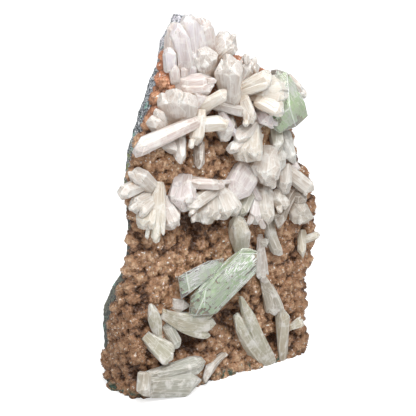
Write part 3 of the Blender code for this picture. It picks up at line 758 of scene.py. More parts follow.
    def relief(self, points: np.ndarray) -> tuple[np.ndarray, np.ndarray]:
        """Works out the lumpy relief.

        Args:
            points: Points of the bare surface.

        Returns:
            How far each point rises, and its share of the way from crevice to tip.
        """
        moved = points.copy()
        for index in np.ndindex(points.shape[:2]):
            moved[index] += noise.noise_vector(Vector(points[index]) / self.warp_scale) * self.warp
        rise, share = self.domes(moved, self.large)
        extra, extra_share = self.domes(moved, self.small)
        rise = np.maximum(rise, extra * 1.1) + 0.3 * extra
        share = 0.7 * share + 0.4 * extra_share
        for pit in self.pits:
            away = np.sum((points - np.array(VIEW.point(pit.x, pit.y, 0))) ** 2, axis=-1)
            hollow = np.exp(-away / (pit.radius * MM) ** 2)
            rise -= pit.depth * MM * hollow
            share -= 0.8 * hollow
        for index in np.ndindex(rise.shape):
            point = Vector(points[index])
            rise[index] += self.undulation * noise.noise(point / self.undulation_scale)
            grainy = noise.turbulence(point / self.grit_scale, 3, False) - 0.5
            rise[index] += self.grit * grainy
            share[index] += 0.3 * grainy
        return rise, np.clip(share, 0, 1)

    def sheet(self) -> BMesh:
        """The crust's mesh: a grid laid over the relief and closed behind."""
        points, outward = self.surface(self.columns, self.rows, ends=True)
        rise, share = self.relief(points)
        edge = np.arange(self.columns) / (self.columns - 1)
        fade = np.clip((1 - edge) / 0.05, 0.15, 1) * np.clip(edge / 0.02, 0.15, 1)
        places = points + outward * (rise * fade)[..., None]
        bm = bmesh.new()
        bmesh.ops.create_grid(bm, x_segments=self.columns - 1, y_segments=self.rows - 1, size=0.5)
        height = bm.verts.layers.float.new("height")
        for vert in bm.verts:
            column = round((vert.co.x + 0.5) * (self.columns - 1))
            row = round((vert.co.y + 0.5) * (self.rows - 1))
            vert[height] = share[row, column]
            vert.co = places[row, column]
        rim = [edge for edge in bm.edges if edge.is_boundary]
        back = bmesh.ops.extrude_edge_only(bm, edges=rim)["geom"]
        for vert in (item for item in back if isinstance(item, bmesh.types.BMVert)):
            vert.co.y = max(vert.co.y, VIEW.face_y(vert.co.z) + self.right_side)
            vert.co.x = max(vert.co.x, self.along(self.left_edge, vert.co.z) + self.lip)
        bmesh.ops.holes_fill(bm, edges=[edge for edge in bm.edges if edge.is_boundary], sides=0)
        bmesh.ops.triangulate(bm, faces=[face for face in bm.faces if len(face.verts) > 4])
        bmesh.ops.recalc_face_normals(bm, faces=bm.faces)
        return bm

    def point_nodes(self) -> bpy.types.NodeTree:
        """Geometry nodes that stand small pointed crystals all over the crust."""
        tree = bpy.data.node_groups.new("druse_points", "GeometryNodeTree")
        tree.interface.new_socket("Crust", in_out="INPUT", socket_type="NodeSocketGeometry")
        tree.interface.new_socket("Points", in_out="OUTPUT", socket_type="NodeSocketGeometry")
        graph = Graph(tree)
        crust = graph.add("NodeGroupInput").outputs[0]
        scatter = {"Mesh": crust, "Density": self.point_density, "Seed": self.point_seed}
        spread = graph.add("GeometryNodeDistributePointsOnFaces", scatter).outputs
        cone = {"Vertices": 5, "Radius Bottom": self.point_radius, "Depth": 2.4 * self.point_radius}
        crystal = graph.add("GeometryNodeMeshCone", cone, fill_type="NONE").outputs["Mesh"]
        lean = graph.add(
            "FunctionNodeRandomValue", {0: (-0.7, -0.7, -0.7), 1: (0.7, 0.7, 0.7)}, data_type="FLOAT_VECTOR"
        )
        growth = graph.vector("ADD", spread["Normal"], lean.outputs[0])
        turn = graph.add("FunctionNodeAlignRotationToVector", {"Vector": growth}, axis="Z").outputs[0]
        size = graph.add("FunctionNodeRandomValue", {2: 0.55, 3: 1.5}, data_type="FLOAT").outputs[1]
        copies = {"Points": spread["Points"], "Instance": crystal, "Rotation": turn, "Scale": size}
        placed = graph.add("GeometryNodeInstanceOnPoints", copies).outputs[0]
        sunk = {"Instances": placed, "Translation": (0, 0, -1.1 * self.point_radius)}
        lowered = graph.add("GeometryNodeTranslateInstances", sunk).outputs[0]
        real = graph.add("GeometryNodeRealizeInstances", {0: lowered}).outputs[0]
        graph.feed(graph.add("NodeGroupOutput"), {0: real})
        return tree

    def build(self) -> None:
        """Builds the crust and the small crystals all over it."""
        finish = DruseFinish()
        crust = finished_piece("druse_surface", self.sheet(), finish, "druse", ["druse_crust"], 60.0)
        source = working_object(crust.data)
        source.modifiers.new("points", "NODES").node_group = self.point_nodes()
        finished_piece("druse_points", evaluated(source), finish, "druse", sharp_from=20.0)


@dataclass
class Basalt:
    """The block of basalt behind the crust, with a broken surface."""

    node: str = "basalt_matrix"
    voxel: float = 0.8 * MM
    swell: float = 0.55 * MM
    swell_scale: float = 6 * MM
    grit: float = 0.35 * MM
    grit_scale: float = 1.8 * MM
    fracture: float = 0.15
    fracture_scales: tuple[float, float] = (5 * MM, 3.2 * MM)

    def move(self, point: Vector) -> float:
        """How far the surface stands out at a point."""
        facet, ripple = (point / scale for scale in self.fracture_scales)
        broken = noise.cell(facet) - 0.5 + noise.noise(ripple)
        gritty = noise.turbulence(point / self.grit_scale, 3, False) - 0.5
        swell = self.swell * noise.noise(point / self.swell_scale)
        return swell + self.grit * gritty + self.fracture * self.grit * broken

    def build(self) -> None:
        """Builds the block from its CAD solid's form."""
        bm = bmesh.new()
        bm.from_mesh(bpy.data.objects[self.node].data)
        bmesh.ops.remove_doubles(bm, verts=bm.verts, dist=0.001 * MM)
        mesh = bpy.data.meshes.new("basalt")
        bm.to_mesh(mesh)
        bm.free()
        source = working_object(mesh)
        remesh = source.modifiers.new("remesh", "REMESH")
        remesh.mode = "VOXEL"
        remesh.voxel_size = self.voxel
        bm = evaluated(source)
        bmesh.ops.recalc_face_normals(bm, faces=bm.faces)
        bm.normal_update()
        moves = [vert.normal * self.move(vert.co) for vert in bm.verts]
        for vert, move in zip(bm.verts, moves):
            vert.co += move
            vert.co.z = 0.0 if vert.co.z < self.voxel else vert.co.z
        finished_piece("basalt_block", bm, BasaltFinish(), "basalt", [self.node], 45.0)


class Habit(Enum):
    """How a crystal widens along its length: (place, share of width, share of thickness)."""

    LOG = ((0, 0.82, 0.8), (0.05, 1, 1), (0.95, 1, 1), (1, 0.84, 0.8))
    BLADE = ((0, 0.78, 0.8), (0.2, 1, 1), (0.8, 0.98, 1), (1, 0.42, 0.4))
    LENS = ((0, 0.5, 0.6), (0.3, 0.95, 1), (0.68, 0.95, 1), (1, 0.26, 0.35))
    FAN = ((0, 0.5, 0.8), (0.4, 0.82, 1), (0.86, 1, 0.9), (1, 0.66, 0.4))
    SHEAF = ((0, 0.6, 0.6), (0.15, 0.84, 0.85), (0.85, 1, 0.95), (1, 0.7, 0.6))
    SPEAR = ((0, 0.66, 0.7), (0.2, 0.98, 1), (0.72, 0.92, 0.95), (1, 0.14, 0.2))
    SLAB = ((0, 0.7, 0.7), (0.1, 0.94, 1), (0.9, 1, 1), (1, 0.78, 0.7))
    HEADED = ((0, 0.52, 0.8), (0.62, 1, 1), (1, 0.5, 0.5))


class Tint(Enum):
    """Body colours of the stilbite."""

    BRIGHT = (0.82, 0.78, 0.82)
    PEARL = (0.77, 0.72, 0.68)
    CREAM = (0.82, 0.77, 0.69)
    LILAC = (0.78, 0.715, 0.74)
    PINK = (0.78, 0.70, 0.68)
    GREY = (0.70, 0.66, 0.63)
    SMOKY = (0.50, 0.42, 0.36)
    SAGE = (0.62, 0.61, 0.53)
    GLASSY = (0.66, 0.66, 0.64)
    IVORY = (0.77, 0.75, 0.66)


LOG, BLADE, LENS, FAN, SHEAF, SPEAR, SLAB, HEADED = Habit
BRIGHT, PEARL, CREAM, LILAC, PINK, GREY, SMOKY, SAGE, GLASSY, IVORY = Tint


@dataclass(frozen=True)
class Crystal:
    """One crystal: its ends in the reference view, how far each stands out, and its size in mm."""

    root_px: Pixel
    tip_px: Pixel
    root_out: float
    tip_out: float
    width: float
    thickness: float
    habit: Habit
    roll: float
    tint: Tint
    bow: float = 0.0

    def frame(self) -> tuple[Vector, Vector, Vector, Vector]:
        """Root, tip, and unit directions across and towards the viewer."""
        root = VIEW.point(*self.root_px, self.root_out)
        tip = VIEW.point(*self.tip_px, self.tip_out)
        axis = (tip - root).normalized()
        facing = (VIEW.towards - axis * VIEW.towards.dot(axis)).normalized()
        facing.rotate(Matrix.Rotation(math.radians(self.roll), 3, axis))
        return root, tip, axis.cross(facing), facing


@dataclass(frozen=True)
class Cluster:
    """Crystals grown together: the CAD nodes they stand for, and a row of values for each crystal."""

    name: str
    nodes: tuple[str, ...]
    rows: tuple[tuple, ...]
    crowded: bool = False

    def crystals(self) -> list[Crystal]:
        """The cluster's crystals."""
        return [Crystal(*row) for row in self.rows]


CLUSTERS = (
    # Satin slabs against the tip of the rock
    Cluster("apex_stilbite", ("upper_stilbite_cluster",), (
        ((194, 72), (188, 15), 0.8, 3.2, 8.4, 5.6, SLAB, 4, BRIGHT),
        ((203, 60), (190, 16), 1.0, 2.2, 7.6, 5.0, SLAB, 8, BRIGHT),
        ((191, 72), (189, 50), 1.5, 4.4, 6.4, 4.0, SLAB, 6, LILAC),
        ((183, 74), (177, 24), 1.5, 5.4, 9.4, 5.0, LENS, -4, BRIGHT),
        ((172, 58), (174, 22), 1.0, 2.6, 7.0, 4.6, SLAB, 6, PINK),
        ((170, 72), (169, 48), 1.6, 3.8, 5.6, 3.4, SLAB, 4, BRIGHT),
        ((176, 83), (174, 64), 1.6, 4.0, 4.4, 3.0, BLADE, 4, PINK),
        ((184, 84), (183, 65), 1.6, 3.6, 4.4, 3.0, BLADE, 0, PINK),
        ((192, 79), (191, 62), 2.0, 4.0, 4.4, 3.0, BLADE, 0, LILAC),
    )),
    # Cream sheaves of the upper right, and the long log with its neighbours
    Cluster("upper_stilbite", ("upper_stilbite_cluster",), (
        ((211, 54), (203, 18), -0.5, 3.5, 7.4, 5.8, BLADE, 20, PINK),
        ((213, 58), (234, 37), 0.0, 6.0, 11.2, 6.2, FAN, -20, GREY),
        ((207, 77), (205, 52), 0.5, 7.0, 10.0, 7.6, SLAB, 25, GREY),
        ((176, 90), (216, 83), 0.5, 9.0, 10.6, 7.6, LENS, 10, PINK),
        ((231, 103), (227, 57), 4.5, 12.0, 11.6, 8.2, SHEAF, -15, PEARL),
        ((238, 82), (249, 59), 2.5, 8.0, 7.4, 6.2, BLADE, 10, GREY),
        ((247, 74), (257, 64), 0.5, 5.0, 5.8, 5.0, BLADE, 0, GREY),
        ((236, 91), (272, 76), 3.5, 12.0, 8.2, 7.6, SHEAF, 15, CREAM),
        ((252, 93), (287, 100), 2.5, 13.0, 12.4, 10.0, FAN, 0, CREAM),
        ((262, 90), (286, 84), 1.5, 10.0, 11.2, 8.8, SLAB, 30, CREAM),
        ((287, 76), (303, 92), 3.0, 7.0, 3.6, 3.2, BLADE, 20, PEARL),
        ((297, 88), (306, 97), 4.0, 8.0, 3.4, 3.0, BLADE, -20, GREY),
        ((256, 100), (284, 112), 6.5, 15.0, 7.0, 6.2, BLADE, -20, CREAM),
        ((243, 95), (253, 124), 6.5, 10.0, 6.2, 5.8, SHEAF, 10, CREAM),
        ((211, 104), (247, 112), 3.5, 8.0, 5.0, 4.2, BLADE, 30, GREY),
        ((221, 111), (235, 136), 4.5, 6.0, 3.4, 3.0, BLADE, 20, LILAC),
        ((260, 108), (270, 126), 4.5, 10.0, 6.2, 5.0, LENS, 20, LILAC),
        ((230, 118), (222, 140), 1.5, 6.0, 7.4, 6.2, LENS, 30, GREY),
        ((262, 118), (236, 141), 1.5, 8.0, 6.2, 5.6, BLADE, 20, PEARL),
        ((181, 126), (176, 91), 0.0, 7.0, 15.6, 7.6, FAN, -12, PEARL),
        ((201, 114), (195, 92), 1.5, 8.0, 10.0, 6.2, LENS, 20, PINK),
        ((196, 110), (227, 92), 4.5, 13.0, 5.0, 4.8, LOG, 20, CREAM),
        ((197, 122), (134, 150), 7.5, 7.0, 6.4, 6.2, LOG, 15, PINK),
        ((200, 110), (196, 145), 6.5, 9.0, 5.8, 5.2, BLADE, 10, CREAM),
        ((196, 126), (229, 122), 6.5, 13.0, 6.4, 5.8, LOG, -15, CREAM),
        ((167, 130), (156, 110), 0.5, 5.0, 5.4, 4.0, LENS, 30, PEARL),
        ((166, 136), (150, 120), 0.5, 5.0, 6.2, 5.0, BLADE, 0, PEARL),
    ), crowded=True),
    # Just below the log
    Cluster("hanging_crystals", ("hanging_stilbite", "hanging_stilbite_2"), (
        ((180, 134), (180, 164), 2.0, 7.0, 5.4, 4.4, SPEAR, 20, PEARL),
        ((163, 140), (178, 154), 1.5, 6.0, 5.8, 4.2, BLADE, -20, PEARL),
        ((200, 142), (199, 169), 2.0, 6.0, 4.8, 4.2, SPEAR, 25, SMOKY),
    )),
    # Left end of the middle band
    Cluster("left_stilbite_fan", ("middle_stilbite_cluster",), (
        ((144, 184), (120, 194), -0.5, 6.0, 6.0, 5.6, BLADE, 15, PEARL),
        ((152, 190), (136, 173), 0.0, 5.0, 8.0, 6.2, SLAB, 0, PEARL),
        ((155, 196), (134, 210), 0.0, 5.5, 8.6, 6.2, FAN, 10, PEARL),
        ((156, 198), (143, 228), 0.5, 7.0, 8.0, 5.8, FAN, 20, CREAM),
        ((162, 198), (174, 229), 0.5, 7.0, 9.4, 5.8, FAN, -15, PINK),
        ((160, 182), (155, 243), 3.5, 9.0, 4.8, 4.4, SHEAF, 15, CREAM),
    ), crowded=True),
    # Rest of the middle band
    Cluster("middle_stilbite", ("middle_stilbite_cluster",), (
        ((186, 178), (180, 210), 0.5, 8.0, 11.0, 7.6, FAN, 10, LILAC),
        ((214, 189), (188, 208), 4.5, 9.0, 5.8, 5.2, BLADE, 0, PEARL),
        ((186, 182), (225, 185), 3.5, 10.0, 5.0, 5.0, LENS, 30, PINK),
        ((216, 183), (229, 218), 0.5, 9.0, 11.0, 7.6, FAN, -20, PEARL),
        ((209, 192), (202, 222), 0.0, 7.0, 12.8, 7.6, FAN, 15, PEARL),
        ((250, 162), (230, 200), 0.5, 7.0, 12.0, 7.6, LENS, -20, LILAC),
        ((254, 126), (247, 160), 1.5, 10.0, 12.0, 8.8, FAN, 20, CREAM),
        ((250, 136), (229, 151), 3.5, 8.0, 5.0, 5.0, BLADE, 0, PEARL),
        ((268, 150), (263, 183), 1.5, 10.0, 13.6, 8.8, FAN, 10, PEARL),
        ((274, 124), (278, 152), 0.5, 6.0, 6.2, 5.6, BLADE, 15, SAGE),
        ((281, 146), (279, 170), 1.5, 7.0, 5.2, 4.8, BLADE, 0, GLASSY),
        ((283, 132), (292, 164), 1.0, 6.0, 6.2, 5.6, BLADE, 20, GLASSY),
        ((282, 160), (302, 169), 0.5, 5.5, 5.2, 4.8, BLADE, -15, LILAC),
        ((284, 166), (284, 192), 2.5, 9.0, 6.6, 6.2, SLAB, 10, GREY),
        ((286, 170), (313, 191), 2.5, 8.0, 6.4, 5.8, BLADE, 10, PEARL),
        ((248, 180), (262, 203), 2.5, 6.0, 3.2, 3.2, SPEAR, 0, LILAC),
        ((264, 184), (267, 224), 1.5, 9.0, 7.4, 7.0, BLADE, 15, PEARL),
        ((256, 194), (256, 224), 1.5, 7.0, 6.4, 5.8, BLADE, -20, LILAC),
        ((252, 186), (239, 216), 1.0, 5.0, 6.2, 5.6, BLADE, 10, SAGE),
        ((276, 194), (284, 206), 3.5, 10.0, 6.6, 6.2, SLAB, 30, PEARL),
        ((297, 186), (277, 227), 1.0, 6.0, 6.2, 5.2, BLADE, 10, SMOKY, 1.5),
        ((294, 204), (306, 221), 0.0, 7.0, 9.2, 7.6, SLAB, 15, PEARL),
        ((291, 196), (306, 200), 0.5, 6.0, 5.4, 5.0, BLADE, 20, SMOKY),
        ((268, 218), (280, 256), 1.0, 6.0, 5.2, 4.8, BLADE, 15, GREY, 1.0),
    ), crowded=True),
    Cluster("right_edge_crystals", ("right_edge_stilbite", "right_edge_stilbite_2"), (
        ((302, 230), (302, 257), 0.5, 4.0, 3.8, 3.8, SLAB, 10, CREAM),
        ((303, 240), (320, 234), 1.0, 5.0, 3.4, 3.2, BLADE, 0, CREAM),
    )),
    # Single crystals on the druse of the lower field
    Cluster("headed_stilbite", ("middle_stilbite_cluster",), (
        ((241, 256), (238, 218), 0.0, 6.6, 9.0, 6.4, HEADED, 10, CREAM),
    )),
    Cluster("chain_stilbite", ("middle_stilbite_cluster",), (
        ((260, 234), (263, 282), 1.5, 4.0, 3.4, 3.2, SHEAF, 0, LILAC),
        ((259, 243), (269, 242), 1.5, 4.5, 3.4, 3.0, FAN, 0, GREY),
        ((262, 276), (275, 315), 2.0, 5.0, 6.2, 5.2, FAN, 10, GREY, -0.8),
        ((282, 360), (282, 306), -0.5, 6.0, 5.4, 5.2, BLADE, 20, CREAM),
        ((285, 330), (303, 320), 1.5, 5.5, 3.4, 3.2, FAN, 0, CREAM),
    )),
    Cluster("spear_crystals", ("spear_pair",), (
        ((270, 362), (241, 296), 0.0, 8.0, 6.2, 5.8, SPEAR, 15, IVORY, -1.2),
        ((262, 363), (236, 315), 0.0, 6.0, 5.8, 5.2, BLADE, 10, IVORY, -1.0),
    )),
    Cluster("slab_crystal", ("slab_stilbite",), (
        ((160, 312), (215, 324), 1.0, 5.0, 8.0, 6.2, FAN, 10, IVORY, 1.8),
    )),
    Cluster("bone_crystals", ("bone_stilbite",), (
        ((158, 340), (152, 305), 1.0, 6.5, 5.4, 5.0, HEADED, 10, IVORY),
        ((144, 335), (172, 360), 0.5, 6.5, 9.2, 6.2, FAN, -15, IVORY),
        ((163, 324), (178, 348), 0.0, 4.0, 5.8, 4.4, BLADE, -10, GLASSY),
    )),
    Cluster("bottom_crystals", ("bottom_stilbite_group",), (
        ((143, 380), (204, 361), 1.5, 6.0, 7.4, 7.6, BLADE, 15, GLASSY),
        ((144, 386), (201, 381), 2.5, 6.5, 10.0, 8.0, SLAB, 10, GLASSY),
        ((146, 372), (143, 396), 4.0, 6.0, 5.8, 6.8, SLAB, 30, PEARL),
    )),
    Cluster("curved_crystal", ("curved_stilbite",), (
        ((225, 354), (204, 382), 0.5, 4.5, 4.2, 3.8, HEADED, 0, PINK, 1.4),
    )),
    Cluster("lilac_crystal", ("lilac_stilbite",), (
        ((168, 303), (189, 306), 0.0, 3.5, 5.8, 4.4, LENS, 0, LILAC),
    )),
)


@dataclass(frozen=True)
class Blade:
    """One of the fused blades of a crystal, as shares of the crystal's own sizes."""

    side: float = 0.0
    lift: float = 0.0
    width: float = 1.0
    thickness: float = 1.0
    start: float = 0.0
    length: float = 1.0
    fan: float = 0.0
    shade: float = 1.0


def unit(x: float, y: float, z: float) -> Vector:
    """A direction."""
    return Vector((x, y, z)).normalized()


@dataclass
class StilbiteShaper:
    """Grows each stilbite crystal as a few flat faced blades fused along their length."""

    bevel: float = 0.15 * MM
    rings: int = 6
    unevenness: float = 0.06
    chip_faces: int = 2
    single_below: float = 6.6
    satellites_per_width: float = 0.42
    satellites_from: float = 5.5
    least_width: float = 0.3
    grain_stretch: float = 0.09
    gap_reach: float = 5 * MM
    gap_start: float = 0.5 * MM
    seed: int = 11
    rng: np.random.Generator = field(init=False)

    def __post_init__(self) -> None:
        """Starts the random draws."""
        self.rng = np.random.default_rng(self.seed)

    def blades(self, crystal: Crystal) -> Iterator[Blade]:
        """The body of a crystal and the thinner plates fused to it."""
        splits = crystal.habit in (FAN, SHEAF)
        yield Blade(width=0.86 if splits else 1.0)
        count = 3 if splits else int(crystal.width > self.single_below and crystal.habit is not LOG)
        draw = self.rng.uniform
        spread = {FAN: 0.3, SHEAF: 0.2, LOG: 0.0}.get(crystal.habit, 0.06)
        for side in np.linspace(-0.5, 0.5, count) if count > 1 else (draw(-0.35, 0.35),) * count:
            yield Blade(
                side=side * 0.6 + draw(-0.15, 0.15),
                lift=draw(0.0, 0.2),
                width=draw(0.4, 0.65),
                thickness=draw(0.8, 1.0),
                start=draw(0.0, 0.3),
                length=draw(0.86, 1.0),
                fan=spread * side + draw(-0.03, 0.03),
                shade=draw(0.96, 1.03),
            )

    def satellites(self, crystal: Crystal) -> Iterator[Crystal]:
        """The small crystals that lean out of a large one's sides."""
        draw = self.rng.uniform
        root, tip = Vector(crystal.root_px), Vector(crystal.tip_px)
        way = (tip - root).normalized()
        beside = Vector((way.y, -way.x))
        half = crystal.width * MM / VIEW.pixel / 2
        large = crystal.width > self.satellites_from and crystal.habit is not LOG
        for _ in range(int(crystal.width * self.satellites_per_width) if large else 0):
            side, place = draw(-0.75, 0.75), draw(0.1, 0.85)
            start = root.lerp(tip, place) + beside * side * half * 0.8
            turn = Matrix.Rotation(math.radians(draw(-35, 35)), 2)
            length = draw(6.0, 11.0)
            end = start + turn @ (way + beside * side * 0.4) * length
            out = crystal.root_out + (crystal.tip_out - crystal.root_out) * place
            out += crystal.thickness * draw(0.05, 0.3)
            yield Crystal(
                tuple(start), tuple(end), out, out + draw(0.0, 1.0), draw(1.8, 3.4), draw(1.4, 2.2),
                BLADE, draw(-40, 40), crystal.tint,
            )

    def walls(self, habit: Habit, width: float, thickness: float, length: float) -> Iterator[Face]:
        """The long faces that give a blade its habit.

        Args:
            habit: How the crystal widens.
            width: Half the blade's width.
            thickness: Half its thickness.
            length: The crystal's length.

        Yields:
            Normal of each face and a point on it, in the blade's axes: across, out and along.
        """
        draw = self.rng.uniform
        for (low, wide, thick), (high, wider, thicker) in zip(habit.value, habit.value[1:]):
            rise, middle = (high - low) * length, (low + high) / 2 * length
            for sign in (WEST, EAST):
                normal = unit(sign * rise, draw(-0.2, 0.2) * rise, (wide - wider) * width)
                yield normal, Vector((sign * width * (wide + wider) / 2, 0, middle))
                normal = unit(draw(-0.12, 0.12) * rise, sign * rise, (thick - thicker) * thickness)
                yield normal, Vector((0, sign * thickness * (thick + thicker) / 2, middle))

    def chips(self, width: float, thickness: float, length: float) -> Iterator[Face]:
        """The flat faces that end a blade in a point and take the corners off its front.

        Args:
            width: Half the blade's width.
            thickness: Half its thickness.
            length: Its length.

        Yields:
            Normal of each face and a point on it, in the blade's axes: across, out and along.
        """
        draw = self.rng.uniform
        for side in (WEST, EAST):
            turn = math.radians(draw(28, 60))
            normal = unit(side * math.sin(turn), draw(-0.1, 0.3), math.cos(turn))
            drop = draw(0.0, 0.5) * min(width * math.tan(turn), 0.4 * length)
            yield normal, Vector((side * width * draw(0.0, 0.4), 0, length - drop * 0.4))
        for _ in range(self.chip_faces):
            normal = unit(draw(-0.6, 0.6), draw(0.5, 1.0), draw(0.5, 1.0))
            yield normal, Vector((0, thickness * draw(0.3, 0.8), length - draw(0.0, 0.3) * width))
        for side in (WEST, EAST):
            turn = math.radians(draw(28, 58))
            normal = unit(side * math.sin(turn), math.cos(turn), draw(-0.1, 0.1))
            yield normal, Vector((side * width * draw(0.3, 0.7), thickness * 0.96, length * 0.6))
        for side in (WEST, EAST):
            normal = unit(side, -0.5, draw(-0.1, 0.1))
            yield normal, Vector((side * width * 0.9, -0.1 * thickness, length / 2))

    def body(self, habit: Habit, blade: Blade, width: float, thickness: float, length: float) -> BMesh:
        """Cuts a blade from a block.

        Args:
            habit: How the crystal widens.
            blade: The blade's shares of the crystal's sizes.
            width: Half the crystal's width.
            thickness: Half its thickness.
            length: Its length.

        Returns:
            The blade in its own axes, its bevelled edges marked for a painted highlight.
        """
        wide, thick, end = width * blade.width, thickness * blade.thickness, length * blade.length
        start = length * blade.start
        bm = bmesh.new()
        mark = bm.faces.layers.float.new("worn")
        middle = Matrix.Translation((0, 0, (start + end) / 2))
        block = middle @ Matrix.Diagonal((2.1 * wide, 2.1 * thick, end - start, 1))
        bmesh.ops.create_cube(bm, size=1, matrix=block)
        for normal, point in [*self.walls(habit, wide, thick, end), *self.chips(wide, thick, end)]:
            self.cut(bm, point, normal, clear_outer=True)
            bmesh.ops.holes_fill(bm, edges=[edge for edge in bm.edges if edge.is_boundary], sides=0)
        bmesh.ops.remove_doubles(bm, verts=bm.verts, dist=1.6 * self.bevel)
        bmesh.ops.delete(bm, geom=bm.edges, context="EDGES_FACES")
        bmesh.ops.convex_hull(bm, input=bm.verts)
        bmesh.ops.delete(bm, geom=[vert for vert in bm.verts if not vert.link_faces], context="VERTS")
        bmesh.ops.dissolve_limit(bm, angle_limit=math.radians(3), verts=bm.verts, edges=bm.edges)
        edges = [edge for edge in bm.edges if len(edge.link_faces) == 2]
        worn = bmesh.ops.bevel(
            bm, geom=edges, offset=self.bevel, affect="EDGES", segments=1, profile=0.5, material=-1,
            clamp_overlap=True,
        )
        # Marks the bevel faces for the painted edge highlight.
        for face in worn["faces"]:
            face[mark] = 1.0
        for share in np.linspace(0, 1, self.rings + 2)[1:-1]:
            self.cut(bm, Vector((0, 0, start + (end - start) * float(share))), Vector((0, 0, 1)))
        return bm

    @staticmethod
    def cut(bm: BMesh, point: Vector, normal: Vector, clear_outer: bool = False) -> None:
        """Cuts a mesh by a plane, and takes away what is outside it where clear_outer says so."""
        geometry = [*bm.verts, *bm.edges, *bm.faces]
        bmesh.ops.bisect_plane(
            bm, geom=geometry, dist=1e-7, plane_co=point, plane_no=normal, clear_outer=clear_outer
        )

    def grow(self, crystal: Crystal, blade: Blade) -> bpy.types.Mesh:
        """Shapes one blade and puts it in its place.

        Args:
            crystal: The crystal that it is part of.
            blade: Its shares of the crystal's sizes.

        Returns:
            The blade, with its grain and its tint.
        """
        root, tip, across, facing = crystal.frame()
        half_width, half_thickness = crystal.width / 2 * MM, crystal.thickness / 2 * MM
        length = (tip - root).length
        axis = (tip - root) / length
        part = self.body(crystal.habit, blade, half_width, half_thickness, length)
        grain = part.loops.layers.float_vector.new("grain")
        tint = part.loops.layers.float_color.new("tint")
        colour = [channel * blade.shade for channel in crystal.tint.value]
        places, widths, _ = zip(*crystal.habit.value)
        salt = self.rng.uniform(0, 100)
        for vert in part.verts:
            x, y, z = vert.co
            place = z / length
            wide = max(self.least_width, float(np.interp(place, places, widths)))
            for loop in vert.link_loops:
                loop[grain] = Vector((x / wide + blade.side * half_width, y + salt, z * self.grain_stretch))
                loop[tint] = [*colour, min(1.0, max(0.0, place))]
            x, z = x + blade.fan * z, z - blade.fan * x
            bend = crystal.bow * MM * 4 * place * (1 - place)
            x += blade.side * half_width * 0.7 + bend
            swell = noise.noise(Vector((salt, 2.0 * place, x / half_width))) * self.unevenness
            y += blade.lift * half_thickness + swell * half_thickness
            vert.co = root + axis * z + across * x + facing * y
        bmesh.ops.recalc_face_normals(part, faces=part.faces)
        if part.calc_volume(signed=True) < 0:
            bmesh.ops.reverse_faces(part, faces=part.faces)
        mesh = bpy.data.meshes.new("blade")
        part.to_mesh(mesh)
        part.free()
        return mesh

    @staticmethod
    def fused(meshes: list[bpy.types.Mesh]) -> BMesh:
        """Joins closed meshes into one skin, and removes them."""
        first, *others = [working_object(mesh) for mesh in meshes]
        for other in others:
            joint = first.modifiers.new("fuse", "BOOLEAN")
            joint.operation, joint.solver, joint.object = "UNION", "MANIFOLD", other
        bm = evaluated(first)
        for other in others:
            bpy.data.objects.remove(other)
        for mesh in meshes:
            bpy.data.meshes.remove(mesh)
        return bm

    def add_gap_shade(self, bm: BMesh) -> None:
        """Writes how shut in each point is by the crystals round it, for the warm painted shade in the
        gaps.
        """
        solid = BVHTree.FromBMesh(bm)
        gap = bm.verts.layers.float.new("gap")
        axes = [Vector(axis) for axis in ((0.9, 0, 0), (0, 0.9, 0), (0, 0, 0.9))]
        turns = [axis * sign for axis in axes for sign in (-1, 1)]
        for vert in bm.verts:
            start = vert.co + vert.normal * self.gap_start
            ways = ((vert.normal + turn).normalized() for turn in turns)
            hits = sum(solid.ray_cast(start, way, self.gap_reach)[0] is not None for way in ways)
            vert[gap] = hits / len(turns)

    def build(self) -> None:
        """Builds one piece for each cluster of stilbite."""
        for cluster in CLUSTERS:
            blades = []
            for crystal in cluster.crystals():
                blades += [self.grow(crystal, blade) for blade in self.blades(crystal)]
                if cluster.crowded:
                    blades += [self.grow(small, Blade()) for small in self.satellites(crystal)]
            bm = self.fused(blades)
            bm.normal_update()
            self.add_gap_shade(bm)
            finished_piece(cluster.name, bm, StilbiteFinish(), "stilbite", cluster.nodes, 14.0)


@dataclass(frozen=True)
class Veils:
    """Thin flakes inside a glassy crystal, lying along its axis.

    Each flake lies between two shares of the crystal's length and of its width, at a depth.
    """

    count: int
    along: tuple[float, float]
    across: tuple[float, float]
    depth: tuple[float, float]
    length: tuple[float, float]
    width: tuple[float, float]
    seed: int
    whiteness: float = 1.0


MINT = GlassyFinish(
    "mint_apophyllite", (0.94, 0.98, 0.90), (1.0, 1.0, 0.96), (0.75, 0.93, 0.62), 16.0, 0.88
)
CLEAR = GlassyFinish(
    "clear_apophyllite", (0.93, 0.95, 0.91), (0.98, 0.98, 0.95), (0.84, 0.9, 0.8), 8.0, 0.86
)
GREEN = GlassyFinish(
    "green_apophyllite", (0.82, 0.92, 0.70), (0.95, 0.96, 0.92), (0.64, 0.9, 0.52), 14.0, 0.76
)
# Whiter, less clear glass for the bevelled edges: painted highlight.
EDGE_HIGHLIGHT = GlassyFinish(
    "worn_edges", (0.95, 0.98, 0.92), (1.0, 1.0, 0.98), (0.9, 0.97, 0.88), 2.0, 0.5
)


